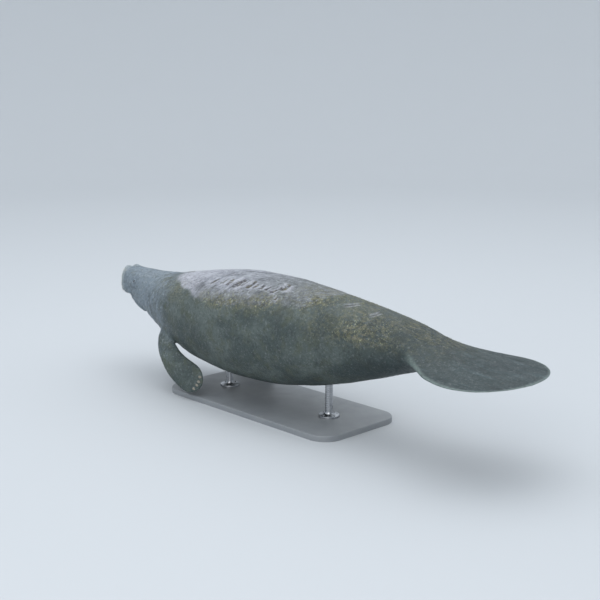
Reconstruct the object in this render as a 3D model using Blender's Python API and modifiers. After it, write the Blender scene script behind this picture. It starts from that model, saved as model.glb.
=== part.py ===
"""A life-size display model of a West Indian manatee, held level on a plain stand of a base and two rods.

The head points to -X and the tail to +X. The animal's middle is over the origin, and the floor is z = 0.
"""

import math
from typing import NamedTuple

import bmesh
import bpy
import numpy as np
from mathutils import Matrix, Vector

# Driving dimensions, in metres
BODY_LENGTH = 3.0
GAP = 0.0003
BASE_LENGTH = 1.30
BASE_WIDTH = 0.56
BASE_THICKNESS = 0.030
BASE_CORNER = 0.11
BASE_EDGE = 0.005
ROD_RADIUS = 0.020
ROD_FLANGE_RADIUS = 0.055
ROD_CLEARANCE = 0.110
ROD_TOP_BELOW_AXIS = 0.30
ROD_PLACES = {"front": 0.95, "rear": 1.75}

# Where the trunk is parted, in metres from the tip of the snout
NECK_FRONT = 0.355
NECK_REAR = 0.545
CHEST_REAR = 1.330
BELLY_REAR = 2.030
STOCK_REAR = 2.450


class Station(NamedTuple):
    """One cross-section of the trunk: its place, its sizes from the level axis, and how square it is."""

    name: str
    share: float
    half_width: float
    top: float
    bottom: float
    squareness: float


STATIONS = (
    Station("muzzle", 0.020, 0.090, 0.083, -0.080, 2.50),
    Station("bridge", 0.045, 0.104, 0.081, -0.100, 2.40),
    Station("eyes", 0.070, 0.122, 0.082, -0.135, 2.30),
    Station("cheeks", 0.105, 0.148, 0.084, -0.182, 2.20),
    Station("nape", 0.150, 0.192, 0.096, -0.241, 2.20),
    Station("shoulders", 0.220, 0.253, 0.130, -0.305, 2.20),
    Station("chest", 0.300, 0.297, 0.168, -0.360, 2.20),
    Station("back", 0.390, 0.311, 0.194, -0.385, 2.20),
    Station("belly", 0.470, 0.300, 0.193, -0.378, 2.20),
    Station("loins", 0.550, 0.270, 0.176, -0.344, 2.20),
    Station("hips", 0.630, 0.233, 0.153, -0.284, 2.15),
    Station("stock", 0.710, 0.193, 0.124, -0.210, 2.10),
    Station("stock end", 0.775, 0.166, 0.091, -0.142, 2.10),
    Station("paddle root", 0.805, 0.176, 0.062, -0.116, 2.10),
    Station("blade", 0.840, 0.235, 0.026, -0.104, 2.05),
    Station("broad blade", 0.880, 0.303, -0.010, -0.094, 2.00),
    Station("widest blade", 0.920, 0.331, -0.029, -0.085, 2.00),
    Station("thin blade", 0.960, 0.331, -0.044, -0.080, 2.00),
    Station("tail tip", 1.000, 0.331, -0.054, -0.072, 2.00),
)
BELLY_LEVEL = min(station.bottom for station in STATIONS)
AXIS_HEIGHT = BASE_THICKNESS + ROD_CLEARANCE - BELLY_LEVEL

# The blunt front of the muzzle, and how far it leans back below its middle and forward above it
MUZZLE_DEPTH = 0.060
MUZZLE_BLUNTNESS = 2.5
MUZZLE_LEVEL = (STATIONS[0].top + STATIONS[0].bottom) / 2
MUZZLE_LEAN = 0.22
MUZZLE_LEAN_END = 0.20

# The tail changes from a round stock to a flat blade with a low ridge along its middle
BLADE_START = 0.755
BLADE_FULL = 0.865
BLADE_ROUND_FROM = 0.920
RIDGE_SHARE = 0.42
RIDGE_POWER = 5.0
TIP_POWER = 8.0


class Swelling(NamedTuple):
    """A soft lump of the head, or a hollow where its height is below zero, on both sides alike."""

    name: str
    along: float
    side: float
    level: float
    reach: tuple
    height: float


SWELLINGS = (
    Swelling("upper lip", 0.040, 0.056, -0.046, (0.045, 0.032, 0.034), 0.019),
    Swelling("lip edge", 0.090, 0.080, -0.066, (0.045, 0.026, 0.022), 0.010),
    Swelling("nostril mound", 0.028, 0.032, 0.080, (0.020, 0.020, 0.030), 0.009),
    Swelling("muzzle cleft", 0.010, 0.000, -0.030, (0.050, 0.009, 0.050), -0.014),
    Swelling("brow", 0.190, 0.110, 0.050, (0.030, 0.026, 0.018), 0.006),
    Swelling("under the eye", 0.195, 0.125, -0.005, (0.030, 0.030, 0.014), 0.003),
    Swelling("cheek", 0.262, 0.150, -0.085, (0.060, 0.050, 0.060), 0.010),
)


class Crease(NamedTuple):
    """A fold round the head or neck: where it crosses the back, how it slants, and how deep it is."""

    name: str
    along: float
    slant: float
    width: float
    depth: float
    lowest: float


CREASES = (
    Crease("behind the muzzle", 0.080, 0.30, 0.008, 0.0070, -0.070),
    Crease("bridge", 0.112, 0.10, 0.007, 0.0030, 0.030),
    Crease("upper bridge", 0.142, 0.05, 0.008, 0.0025, 0.030),
    Crease("nape", 0.392, -0.20, 0.016, 0.0040, -0.400),
    Crease("mid neck", 0.458, -0.12, 0.018, 0.0045, -0.400),
    Crease("neck base", 0.516, -0.08, 0.016, 0.0030, -0.400),
)
CREASE_FADE = 0.030
CREASE_LEVEL = 0.080

# Eyes, ears and nostrils: metres from the snout's tip, and degrees above the side of the section
EYE_ALONG = 0.200
EYE_ANGLE = 22.0
EYE_RADIUS = 0.0115
EYE_SUNK = 0.0060
LID_RING_RADIUS = 0.0112
LID_THICKNESS = 0.0032
LID_SUNK = 0.0006
EAR_ALONG = 0.318
EAR_ANGLE = 20.0
EAR_RADIUS = 0.0020
EAR_DEPTH = 0.010
NOSTRIL_ALONG = 0.026
NOSTRIL_ANGLE = 71.0
NOSTRIL_LENGTH = 0.0145
NOSTRIL_WIDTH = 0.0095
NOSTRIL_DEPTH = 0.015
NOSTRIL_TURN = 30.0


class JawStation(NamedTuple):
    """One cross-section of the lower jaw."""

    along: float
    half_width: float
    top: float
    bottom: float


JAW_STATIONS = (
    JawStation(0.066, 0.048, -0.060, -0.103),
    JawStation(0.090, 0.062, -0.058, -0.117),
    JawStation(0.130, 0.078, -0.060, -0.131),
    JawStation(0.170, 0.092, -0.064, -0.145),
    JawStation(0.210, 0.100, -0.080, -0.158),
    JawStation(0.250, 0.096, -0.110, -0.170),
)
JAW_TIP = 0.038
JAW_END = 0.295
JAW_SQUARENESS = 2.6
JAW_RINGS = 10
JAW_SIDES = 20


class FlipperStation(NamedTuple):
    """One cross-section of a flipper, placed by degrees below the trunk's side and by its stand-off."""

    name: str
    along: float
    below: float
    stand_off: float
    half_chord: float
    half_thickness: float


FLIPPER_STATIONS = (
    FlipperStation("inside the chest", 0.610, 34.0, -0.070, 0.056, 0.034),
    FlipperStation("shoulder", 0.650, 36.0, 0.012, 0.060, 0.034),
    FlipperStation("elbow", 0.720, 40.0, 0.070, 0.062, 0.028),
    FlipperStation("wrist", 0.830, 46.0, 0.105, 0.074, 0.023),
    FlipperStation("palm", 0.930, 50.0, 0.120, 0.080, 0.017),
    FlipperStation("tip", 1.030, 52.0, 0.130, 0.078, 0.010),
)
FLIPPER_FACE = (0.10, 0.86, 0.42)
FLIPPER_ROUND_FROM = 0.80
FLIPPER_RINGS = 12
FLIPPER_TIP_RINGS = 6
FLIPPER_SIDES = 16
NAIL_COUNT = 4
NAIL_SIZE = (0.0130, 0.0080, 0.0040)
NAIL_SPREAD = 0.62
NAIL_ALONG = 0.955
NAIL_ARC = 0.05
NAIL_FAN = 0.5
NAIL_RISE = 0.72

# How finely the solids are made: sides of a ring, rings and the distance between them
TRUNK_SIDES = 36
HEAD_SIDES = 44
MUZZLE_RINGS = 9
MUZZLE_STEP = 0.009
MUZZLE_REAR = 0.160
CHEEK_RINGS = 14
PADDLE_SIDES = 40
BLADE_RINGS = 8
PADDLE_TIP_RINGS = 9
ROD_SIDES = 24
TURN = 2 * math.pi
UPRIGHT = np.array([0.0, 0.0, 1.0])


def srgb(red, green, blue):
    """A colour of 0 to 255 as the linear values that a material takes."""
    return tuple((channel / 255) ** 2.2 for channel in (red, green, blue)) + (1.0,)


SKIN_COLOURS = {
    "head": srgb(126, 135, 142),
    "lower_jaw": srgb(132, 138, 142),
    "neck": srgb(124, 132, 134),
    "chest": srgb(134, 140, 143),
    "belly": srgb(124, 131, 132),
    "tail_stock": srgb(104, 116, 114),
    "tail_paddle": srgb(96, 110, 110),
    "flipper_left": srgb(112, 121, 122),
    "flipper_right": srgb(112, 121, 122),
}


def smooth(share):
    """An even step from 0 to 1."""
    share = np.clip(share, 0.0, 1.0)
    return share * share * (3 - 2 * share)


def through(places, values, wanted):
    """A smooth curve through the values, with no overshoot between them."""
    places, values = np.asarray(places, float), np.asarray(values, float)
    steps = np.diff(places)
    slopes = np.diff(values) / steps
    tangents = np.zeros(len(places))
    same_way = slopes[:-1] * slopes[1:] > 0
    for i in np.nonzero(same_way)[0]:
        before, after = 2 * steps[i + 1] + steps[i], steps[i + 1] + 2 * steps[i]
        tangents[i + 1] = (before + after) / (before / slopes[i] + after / slopes[i + 1])
    tangents[0], tangents[-1] = slopes[0], slopes[-1]
    wanted = np.clip(wanted, places[0], places[-1])
    k = np.clip(np.searchsorted(places, wanted) - 1, 0, len(steps) - 1)
    s = (wanted - places[k]) / steps[k]
    return (
        (1 + 2 * s) * (1 - s) ** 2 * values[k]
        + s * (1 - s) ** 2 * steps[k] * tangents[k]
        + s * s * (3 - 2 * s) * values[k + 1]
        + s * s * (s - 1) * steps[k] * tangents[k + 1]
    )


def power(value, exponent):
    """The value's size raised to a power, with its sign kept."""
    return np.sign(value) * np.abs(value) ** exponent


def trunk_sizes(along):
    """Half width, top, bottom and squareness of the trunk at metres from the snout's tip."""
    share = np.asarray(along, float) / BODY_LENGTH
    places = [station.share for station in STATIONS]
    columns = zip(*(station[2:] for station in STATIONS))
    half_width, top, bottom, squareness = (through(places, column, share) for column in columns)
    middle, half_height = (top + bottom) / 2, (top - bottom) / 2
    front = np.clip(1 - np.asarray(along, float) / MUZZLE_DEPTH, 0, 1)
    scale = (1 - front**MUZZLE_BLUNTNESS) ** (1 / MUZZLE_BLUNTNESS)
    rear = np.clip((share - BLADE_ROUND_FROM) / (1 - BLADE_ROUND_FROM), 0, 1)
    half_width = half_width * scale * np.sqrt(1 - rear**2)
    half_height = half_height * scale * np.sqrt(1 - rear**TIP_POWER)
    return half_width, middle, half_height, squareness


def bare_trunk(along, angle):
    """Points of the trunk without its folds: angle 0 is the right side and 90 degrees the back."""
    along, angle = np.broadcast_arrays(np.asarray(along, float), np.asarray(angle, float))
    half_width, middle, half_height, squareness = trunk_sizes(along)
    across, up = np.cos(angle), np.sin(angle)
    y = half_width * power(across, 2 / squareness)
    blade = smooth((along / BODY_LENGTH - BLADE_START) / (BLADE_FULL - BLADE_START))
    ridge = RIDGE_SHARE * np.abs(up) ** RIDGE_POWER + (1 - RIDGE_SHARE) * np.abs(up) ** 0.9
    height = (1 - blade) * np.abs(up) ** (2 / squareness) + blade * ridge
    z = middle + half_height * np.sign(up) * height
    lean = MUZZLE_LEAN * smooth(1 - along / MUZZLE_LEAN_END) * (MUZZLE_LEVEL - z)
    return np.stack([along + lean, y, z], axis=-1)


def outward(along, angle):
    """The outward direction of the bare trunk at each place."""
    step = 1e-4
    along = np.maximum(np.asarray(along, float), 2 * step)
    lengthways = bare_trunk(along + step, angle) - bare_trunk(along - step, angle)
    around = bare_trunk(along, np.asarray(angle) + step) - bare_trunk(along, np.asarray(angle) - step)
    normal = np.cross(around, lengthways)
    return normal / np.maximum(np.linalg.norm(normal, axis=-1, keepdims=True), 1e-12)


def relief(points):
    """How far the head's and neck's folds and lumps stand out at each point."""
    along, side, level = points[..., 0], np.abs(points[..., 1]), points[..., 2]
    lift = np.zeros(along.shape)
    for lump in SWELLINGS:
        offsets = zip((along, side, level), (lump.along, lump.side, lump.level), lump.reach)
        lift += lump.height * np.exp(-sum(((p - at) / reach) ** 2 for p, at, reach in offsets))
    for fold in CREASES:
        at = fold.along + fold.slant * (CREASE_LEVEL - level)
        shown = smooth((level - fold.lowest) / CREASE_FADE)
        lift -= fold.depth * shown * np.exp(-(((along - at) / fold.width) ** 2))
    return lift


def trunk(along, angle):
    """Points of the trunk's surface with its folds, in the animal's own frame."""
    points = bare_trunk(along, angle)
    return points + outward(along, angle) * relief(points)[..., None]


def to_room(points):
    """Moves points from the animal's own frame to the part's."""
    return np.asarray(points) + np.array([-BODY_LENGTH / 2, 0.0, AXIS_HEIGHT])


def on_skin(along, degrees, side):
    """A place on the skin and its outward direction, side 1 for the right and -1 for the left."""
    angle = math.radians(degrees)
    place = to_room(trunk(along, angle))
    normal = outward(along, angle)
    mirror = np.array([1.0, side, 1.0])
    return Vector(place * mirror), Vector(normal * mirror)


def collection_of(name):
    """The collection of that name, made and linked to the scene where it isn't there yet."""
    found = bpy.data.collections.get(name)
    if found is None:
        found = bpy.data.collections.new(name)
        bpy.context.scene.collection.children.link(found)
    return found


def object_from(bm, name, helper=False):
    """Turns a bmesh into an object, in the manatee's collection or among the helpers."""
    mesh = bpy.data.meshes.new(name)
    bm.to_mesh(mesh)
    bm.free()
    made = bpy.data.objects.new(name, mesh)
    collection_of("helpers" if helper else "manatee").objects.link(made)
    if helper:
        made.hide_render = True
        made.display_type = "WIRE"
    return made


def loft(name, rings, start=None, end=None):
    """A closed skin over rings of points. Each end runs to its pole, or to the middle of its ring."""
    bm = bmesh.new()
    rows = [[bm.verts.new(point) for point in ring] for ring in rings]
    count = len(rows[0])
    for near, far in zip(rows, rows[1:]):
        for i in range(count):
            k = (i + 1) % count
            bm.faces.new((near[i], near[k], far[k], far[i]))
    for row, pole, ring in ((rows[0], start, rings[0]), (rows[-1], end, rings[-1])):
        tip = bm.verts.new(np.mean(ring, axis=0) if pole is None else pole)
        for i in range(count):
            bm.faces.new((row[i], row[(i + 1) % count], tip))
    bmesh.ops.recalc_face_normals(bm, faces=bm.faces)
    bmesh.ops.triangulate(bm, faces=bm.faces)
    return object_from(bm, name)


def around(sides):
    """The angles of a ring's points."""
    return np.arange(sides) / sides * TURN


def trunk_rings(places, sides):
    """Rings of points on the trunk's surface, in the part's frame."""
    return list(to_room(trunk(places[:, None], around(sides)[None, :])))


def trunk_length(name, start, end, rings):
    """The length of the trunk between two flat cuts, each set back by half of the gap."""
    places = np.linspace(start + GAP / 2, end - GAP / 2, rings)
    return loft(name, trunk_rings(places, TRUNK_SIDES))


def applied(made):
    """Puts the result of an object's modifiers in its mesh."""
    graph = bpy.context.evaluated_depsgraph_get()
    mesh = bpy.data.meshes.new_from_object(made.evaluated_get(graph))
    made.modifiers.clear()
    old = made.data
    made.data = mesh
    bpy.data.meshes.remove(old)
    mesh.name = made.name
    return made


def volume_of(faces):
    """The signed volume that some triangles close."""
    return sum(
        face.verts[0].co.dot(face.verts[1].co.cross(face.verts[2].co)) for face in faces
    ) / 6


def keep_largest(made):
    """Keeps an object's largest closed surface, and drops any scrap or sealed hollow."""
    bm = bmesh.new()
    bm.from_mesh(made.data)
    bmesh.ops.triangulate(bm, faces=bm.faces)
    waiting, pieces = set(bm.faces), []
    while waiting:
        front = [waiting.pop()]
        piece = set(front)
        while front:
            for edge in front.pop().edges:
                for face in edge.link_faces:
                    if face in waiting:
                        waiting.remove(face)
                        piece.add(face)
                        front.append(face)
        pieces.append(piece)
    pieces.sort(key=volume_of)
    loose = [face for piece in pieces[:-1] for face in piece]
    bmesh.ops.delete(bm, geom=loose, context="FACES")
    bm.to_mesh(made.data)
    bm.free()


def combine(made, operation, helpers):
    """Joins the helpers to an object or cuts them out of it, and removes them."""
    group = bpy.data.collections.new("operands")
    bpy.context.scene.collection.children.link(group)
    for helper in helpers:
        group.objects.link(helper)
    modifier = made.modifiers.new(operation.title(), "BOOLEAN")
    modifier.operand_type = "COLLECTION"
    modifier.collection = group
    modifier.operation = operation
    modifier.solver = "EXACT"
    applied(made)
    keep_largest(made)
    for helper in helpers:
        bpy.data.objects.remove(helper)
    bpy.data.collections.remove(group)


def grown(made, name):
    """A helper like the object, larger all round by the gap."""
    bm = bmesh.new()
    bm.from_mesh(made.data)
    bm.normal_update()
    for vert in bm.verts:
        vert.co += vert.normal * GAP * vert.calc_shell_factor()
    return object_from(bm, name, helper=True)


def ellipsoid(name, centre, radii, axes=None, helper=True, detail=(14, 9)):
    """A closed ellipsoid, turned by three axes where they are given."""
    bm = bmesh.new()
    bmesh.ops.create_uvsphere(bm, u_segments=detail[0], v_segments=detail[1], radius=1.0)
    turn = axes.to_4x4() if axes else Matrix.Identity(4)
    place = Matrix.Translation(centre) @ turn @ Matrix.Diagonal((*radii, 1.0))
    bmesh.ops.transform(bm, matrix=place, verts=bm.verts)
    return object_from(bm, name, helper)


def frame_on(normal, forward):
    """Three axes as a matrix: along the surface, across it, and out of it."""
    out = normal.normalized()
    across = out.cross(forward).normalized()
    return Matrix((across.cross(out), across, out)).transposed()


def ring_tube(name, centre, axes, radius, thickness, sides=(20, 8)):
    """A closed ring of round section, lying flat in its first two axes."""
    rings = []
    for turn in around(sides[0]):
        spoke = np.array([math.cos(turn), math.sin(turn), 0.0])
        roll = around(sides[1])[:, None]
        rings.append(spoke * (radius + thickness * np.cos(roll)) + UPRIGHT * thickness * np.sin(roll))
    bm = bmesh.new()
    rows = [[bm.verts.new(centre + axes @ Vector(point)) for point in ring] for ring in rings]
    for i, row in enumerate(rows):
        far = rows[(i + 1) % len(rows)]
        for j in range(sides[1]):
            k = (j + 1) % sides[1]
            bm.faces.new((row[j], row[k], far[k], far[j]))
    bmesh.ops.recalc_face_normals(bm, faces=bm.faces)
    return object_from(bm, name, helper=True)


def make_jaw():
    """The lower jaw: a narrow pad behind and below the upper lips."""
    columns = list(zip(*JAW_STATIONS))
    shares = np.concatenate([np.linspace(0.30, 0.85, 4), [0.97]])
    nose = JAW_STATIONS[0].along - JAW_TIP
    tail = JAW_END - JAW_STATIONS[-1].along
    front = JAW_STATIONS[0].along - nose * np.sqrt(1 - shares**2)
    rear = (JAW_STATIONS[-1].along + tail * np.sqrt(1 - shares**2))[::-1]
    middle = np.linspace(JAW_STATIONS[0].along, JAW_STATIONS[-1].along, JAW_RINGS)
    angles = around(JAW_SIDES)
    rings = []
    for along in np.concatenate([front, middle, rear]):
        half_width, top, bottom = (through(columns[0], column, along) for column in columns[1:])
        beyond = max((columns[0][0] - along) / nose, (along - columns[0][-1]) / tail, 0.0)
        scale = math.sqrt(1 - beyond**2)
        y = half_width * scale * power(np.cos(angles), 2 / JAW_SQUARENESS)
        z = (top + bottom) / 2 + (top - bottom) / 2 * scale * power(np.sin(angles), 2 / JAW_SQUARENESS)
        rings.append(to_room(np.stack([np.full_like(y, along), y, z], axis=-1)))
    first, last = JAW_STATIONS[0], JAW_STATIONS[-1]
    tip = to_room((JAW_TIP, 0, (first.top + first.bottom) / 2))
    end = to_room((JAW_END, 0, (last.top + last.bottom) / 2))
    return loft("lower_jaw", rings, tip, end)


def make_head():
    """The head with its muzzle, before anything is cut from it."""
    shares = np.linspace(0.12, 0.97, MUZZLE_RINGS)
    blunt = MUZZLE_BLUNTNESS
    front = MUZZLE_DEPTH * (1 - (1 - shares**blunt) ** (1 / blunt))
    muzzle = np.arange(MUZZLE_DEPTH, MUZZLE_REAR, MUZZLE_STEP)
    cheeks = np.linspace(MUZZLE_REAR + 0.010, NECK_FRONT - GAP / 2, CHEEK_RINGS)
    return loft("head", trunk_rings(np.concatenate([front, muzzle, cheeks]), HEAD_SIDES))


def make_eye(side, word):
    """An eyeball, the socket that clears it and the ring of lids round it."""
    skin, out = on_skin(EYE_ALONG, EYE_ANGLE, side)
    axes = frame_on(out, Vector((-1, 0, 0)))
    centre = skin - out * EYE_SUNK
    eye = ellipsoid(f"eye_{word}", centre, (EYE_RADIUS,) * 3, axes, helper=False, detail=(18, 12))
    socket = ellipsoid("socket", centre, (EYE_RADIUS + GAP,) * 3, axes, detail=(18, 12))
    lids = ring_tube("lids", skin - out * LID_SUNK, axes, LID_RING_RADIUS, LID_THICKNESS)
    return eye, socket, lids


def make_nostril(side):
    """The cutter of one nostril, a short slanted oval that runs in and back."""
    skin, out = on_skin(NOSTRIL_ALONG, NOSTRIL_ANGLE, side)
    turned = Matrix.Rotation(math.radians(NOSTRIL_TURN) * side, 3, out) @ Vector((-1, 0, 0))
    axes = frame_on(out, turned)
    return ellipsoid("nostril", skin, (NOSTRIL_LENGTH, NOSTRIL_WIDTH, NOSTRIL_DEPTH), axes)


def make_ear(side):
    """The cutter of one ear, a hole no wider than a pencil lead."""
    skin, out = on_skin(EAR_ALONG, EAR_ANGLE, side)
    axes = frame_on(out, Vector((-1, 0, 0)))
    return ellipsoid("ear", skin, (EAR_RADIUS, EAR_RADIUS, EAR_DEPTH), axes, detail=(8, 6))


def flipper_spine(side):
    """The middle line of a flipper and its sizes at each station, in the part's frame."""
    points, sizes = [], []
    for station in FLIPPER_STATIONS:
        skin, out = on_skin(station.along, -station.below, side)
        level = Vector((0, out.y, out.z)).normalized()
        points.append(skin + level * station.stand_off)
        sizes.append((station.half_chord, station.half_thickness))
    return np.array(points), np.array(sizes)


def flipper_at(shares, side):
    """Middle points, tangents and sizes at shares of a flipper's length."""
    points, sizes = flipper_spine(side)
    places = np.concatenate([[0], np.cumsum(np.linalg.norm(np.diff(points, axis=0), axis=1))])
    places /= places[-1]
    step = 0.01

    def middle(wanted):
        """The flipper's middle line."""
        return np.stack([through(places, column, wanted) for column in points.T], axis=-1)

    tangents = middle(np.minimum(shares + step, 1)) - middle(np.maximum(shares - step, 0))
    tangents /= np.linalg.norm(tangents, axis=1, keepdims=True)
    spread = np.stack([through(places, column, shares) for column in sizes.T], axis=-1)
    return middle(shares), tangents, spread


def blade_axes(tangent, side):
    """The chord and the outer face of a flipper, square to its length."""
    face = Vector((FLIPPER_FACE[0], FLIPPER_FACE[1] * side, FLIPPER_FACE[2])).normalized()
    chord = Vector(tangent).cross(face).normalized() * side
    return chord, chord.cross(Vector(tangent)).normalized() * side


def make_flipper(side, word, chest):
    """A flipper with its nails fused on, cut clear of the chest."""
    straight = np.linspace(0, FLIPPER_ROUND_FROM, FLIPPER_RINGS, endpoint=False)
    round_end = np.sin(np.linspace(0, math.pi / 2, FLIPPER_TIP_RINGS + 1)[:-1])
    shares = np.concatenate([straight, FLIPPER_ROUND_FROM + (1 - FLIPPER_ROUND_FROM) * round_end])
    middles, tangents, sizes = flipper_at(shares, side)
    angles = around(FLIPPER_SIDES)
    rings = []
    for share, middle, tangent, (half_chord, half_thickness) in zip(shares, middles, tangents, sizes):
        chord, face = blade_axes(tangent, side)
        beyond = max((share - FLIPPER_ROUND_FROM) / (1 - FLIPPER_ROUND_FROM), 0.0)
        width = half_chord * math.sqrt(1 - beyond**2)
        across = np.cos(angles)[:, None] * np.array(chord) * width
        through_it = np.sin(angles)[:, None] * np.array(face) * half_thickness * math.sqrt(1 - beyond**6)
        rings.append(middle + across + through_it)
    tip = flipper_at(np.array([1.0]), side)[0][0]
    flipper = loft(f"flipper_{word}", rings, rings[0].mean(axis=0), tip)
    combine(flipper, "UNION", make_nails(side))
    combine(flipper, "DIFFERENCE", [grown(chest, "chest clearance")])
    return flipper


def make_nails(side):
    """The nails along a flipper's tip, on its outer face."""
    nails = []
    for spread in np.linspace(-NAIL_SPREAD, NAIL_SPREAD, NAIL_COUNT):
        share = NAIL_ALONG - NAIL_ARC * spread**2
        (middle,), (tangent,), (sizes,) = flipper_at(np.array([share]), side)
        chord, face = blade_axes(tangent, side)
        beyond = max((share - FLIPPER_ROUND_FROM) / (1 - FLIPPER_ROUND_FROM), 0.0)
        edge = sizes[0] * math.sqrt(1 - beyond**2)
        rise = sizes[1] * math.cos(spread) * NAIL_RISE
        place = Vector(middle) + chord * edge * spread + face * rise
        lengthways = (Vector(tangent) + chord * spread * NAIL_FAN).normalized()
        nails.append(ellipsoid("nail", place, NAIL_SIZE, frame_on(face, lengthways), detail=(10, 6)))
    return nails


def make_paddle():
    """The flat round tail, from its root to its tip."""
    blade_end = BLADE_ROUND_FROM * BODY_LENGTH
    blade = np.linspace(STOCK_REAR + GAP / 2, blade_end, BLADE_RINGS + 1)[:-1]
    turn = np.linspace(0, math.pi / 2, PADDLE_TIP_RINGS + 1)[:-1]
    arc = blade_end + (BODY_LENGTH - blade_end) * np.sin(turn)
    tip = to_room((BODY_LENGTH, 0, (STATIONS[-1].top + STATIONS[-1].bottom) / 2))
    return loft("tail_paddle", trunk_rings(np.concatenate([blade, arc]), PADDLE_SIDES), end=tip)


def make_base():
    """The stand's flat base, with round corners and a softened top edge."""
    centre = (ROD_PLACES["front"] + ROD_PLACES["rear"]) / 2 - BODY_LENGTH / 2
    bm = bmesh.new()
    bmesh.ops.create_cube(bm, size=1.0)
    size = Matrix.Diagonal((BASE_LENGTH, BASE_WIDTH, BASE_THICKNESS, 1.0))
    place = Matrix.Translation((centre, 0, BASE_THICKNESS / 2))
    bmesh.ops.transform(bm, matrix=place @ size, verts=bm.verts)
    upright = [edge for edge in bm.edges if abs(edge.verts[0].co.z - edge.verts[1].co.z) > 0.01]
    bmesh.ops.bevel(bm, geom=upright, offset=BASE_CORNER, segments=8, profile=0.5, affect="EDGES")
    rim = [edge for edge in bm.edges if all(vert.co.z > BASE_THICKNESS - 1e-5 for vert in edge.verts)]
    bmesh.ops.bevel(bm, geom=rim, offset=BASE_EDGE, segments=2, profile=0.5, affect="EDGES")
    return object_from(bm, "stand_base")


def make_rod(word, along, belly):
    """A turned rod with a flange on the base, its top cut to the belly that it carries."""
    foot = BASE_THICKNESS + GAP
    top = AXIS_HEIGHT - ROD_TOP_BELOW_AXIS
    profile = (
        (0.0, top),
        (ROD_RADIUS, top),
        (ROD_RADIUS, foot + 0.026),
        (ROD_RADIUS + 0.006, foot + 0.014),
        (ROD_FLANGE_RADIUS - 0.004, foot + 0.010),
        (ROD_FLANGE_RADIUS, foot + 0.006),
        (ROD_FLANGE_RADIUS, foot),
        (0.0, foot),
    )
    bm = bmesh.new()
    verts = [bm.verts.new((radius, 0, height)) for radius, height in profile]
    for upper, lower in zip(verts, verts[1:]):
        bm.edges.new((upper, lower))
    rod = object_from(bm, f"stand_rod_{word}")
    screw = rod.modifiers.new("Turned", "SCREW")
    screw.steps = screw.render_steps = ROD_SIDES
    screw.use_merge_vertices = True
    screw.merge_threshold = 0.0001
    applied(rod)
    rod.data.transform(Matrix.Translation((along - BODY_LENGTH / 2, 0, 0)))
    combine(rod, "DIFFERENCE", [grown(belly, "belly clearance")])
    return rod


def paint(made, colour, roughness, metallic=0.0):
    """Gives an object its own plain material."""
    material = bpy.data.materials.new(made.name)
    material.use_nodes = True
    shader = material.node_tree.nodes["Principled BSDF"]
    shader.inputs["Base Color"].default_value = colour
    shader.inputs["Roughness"].default_value = roughness
    shader.inputs["Metallic"].default_value = metallic
    made.data.materials.clear()
    made.data.materials.append(material)
    made.data.shade_smooth()
    made.data.set_sharp_from_angle(angle=math.radians(40))


def main():
    """Builds every piece of the animal and its stand."""
    for old in list(bpy.data.objects):
        bpy.data.objects.remove(old)

    jaw = make_jaw()
    head = make_head()
    eyes, sockets, lids = zip(*(make_eye(side, word) for side, word in ((1, "right"), (-1, "left"))))
    combine(head, "UNION", list(lids))
    openings = [cutter for side in (1, -1) for cutter in (make_nostril(side), make_ear(side))]
    combine(head, "DIFFERENCE", list(sockets) + openings)
    combine(head, "DIFFERENCE", [grown(jaw, "jaw clearance")])

    trunk_length("neck", NECK_FRONT, NECK_REAR, 12)
    chest = trunk_length("chest", NECK_REAR, CHEST_REAR, 14)
    belly = trunk_length("belly", CHEST_REAR, BELLY_REAR, 12)
    trunk_length("tail_stock", BELLY_REAR, STOCK_REAR, 9)
    make_paddle()
    for side, word in ((1, "right"), (-1, "left")):
        make_flipper(side, word, chest)

    make_base()
    for (word, along), carried in zip(ROD_PLACES.items(), (chest, belly)):
        make_rod(word, along, carried)

    for name, colour in SKIN_COLOURS.items():
        paint(bpy.data.objects[name], colour, 0.55)
    for eye in eyes:
        paint(eye, srgb(24, 21, 19), 0.12)
    paint(bpy.data.objects["stand_base"], srgb(92, 94, 96), 0.45)
    for word in ROD_PLACES:
        paint(bpy.data.objects[f"stand_rod_{word}"], srgb(186, 188, 190), 0.28, 1.0)


if __name__ == "__main__":
    main()
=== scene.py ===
"""The looks of a life-size manatee display model: its hide, eyes, nails, bristles, algae, stand and studio.

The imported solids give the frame. One skin takes the place of the nodes of flesh, on the same sections
and the same named places, and everything else is set on that skin or on the stand. "Own" points are in
the animal's own frame: metres along from the snout's tip, then to its right, then over its level axis.
"""

from __future__ import annotations

import logging
import math
from collections.abc import Callable, Sequence
from dataclasses import dataclass
from enum import Enum
from functools import cache

import bmesh
import bpy
import numpy as np
from mathutils import Matrix, Vector
from mathutils.kdtree import KDTree


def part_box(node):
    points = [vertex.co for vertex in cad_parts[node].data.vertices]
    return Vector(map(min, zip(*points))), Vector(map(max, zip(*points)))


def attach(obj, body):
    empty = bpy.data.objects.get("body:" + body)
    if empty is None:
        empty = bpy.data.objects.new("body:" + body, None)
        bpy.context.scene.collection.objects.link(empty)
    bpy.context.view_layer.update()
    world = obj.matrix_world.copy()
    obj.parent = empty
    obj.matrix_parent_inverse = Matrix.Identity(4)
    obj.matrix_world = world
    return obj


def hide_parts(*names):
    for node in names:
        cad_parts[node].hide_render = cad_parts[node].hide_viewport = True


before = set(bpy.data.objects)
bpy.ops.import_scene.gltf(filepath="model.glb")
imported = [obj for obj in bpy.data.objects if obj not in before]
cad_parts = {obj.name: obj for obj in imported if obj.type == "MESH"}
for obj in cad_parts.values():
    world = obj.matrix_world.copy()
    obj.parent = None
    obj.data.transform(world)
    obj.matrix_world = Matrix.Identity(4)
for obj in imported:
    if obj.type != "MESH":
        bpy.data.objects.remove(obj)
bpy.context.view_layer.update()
log = logging.getLogger("manatee")

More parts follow.
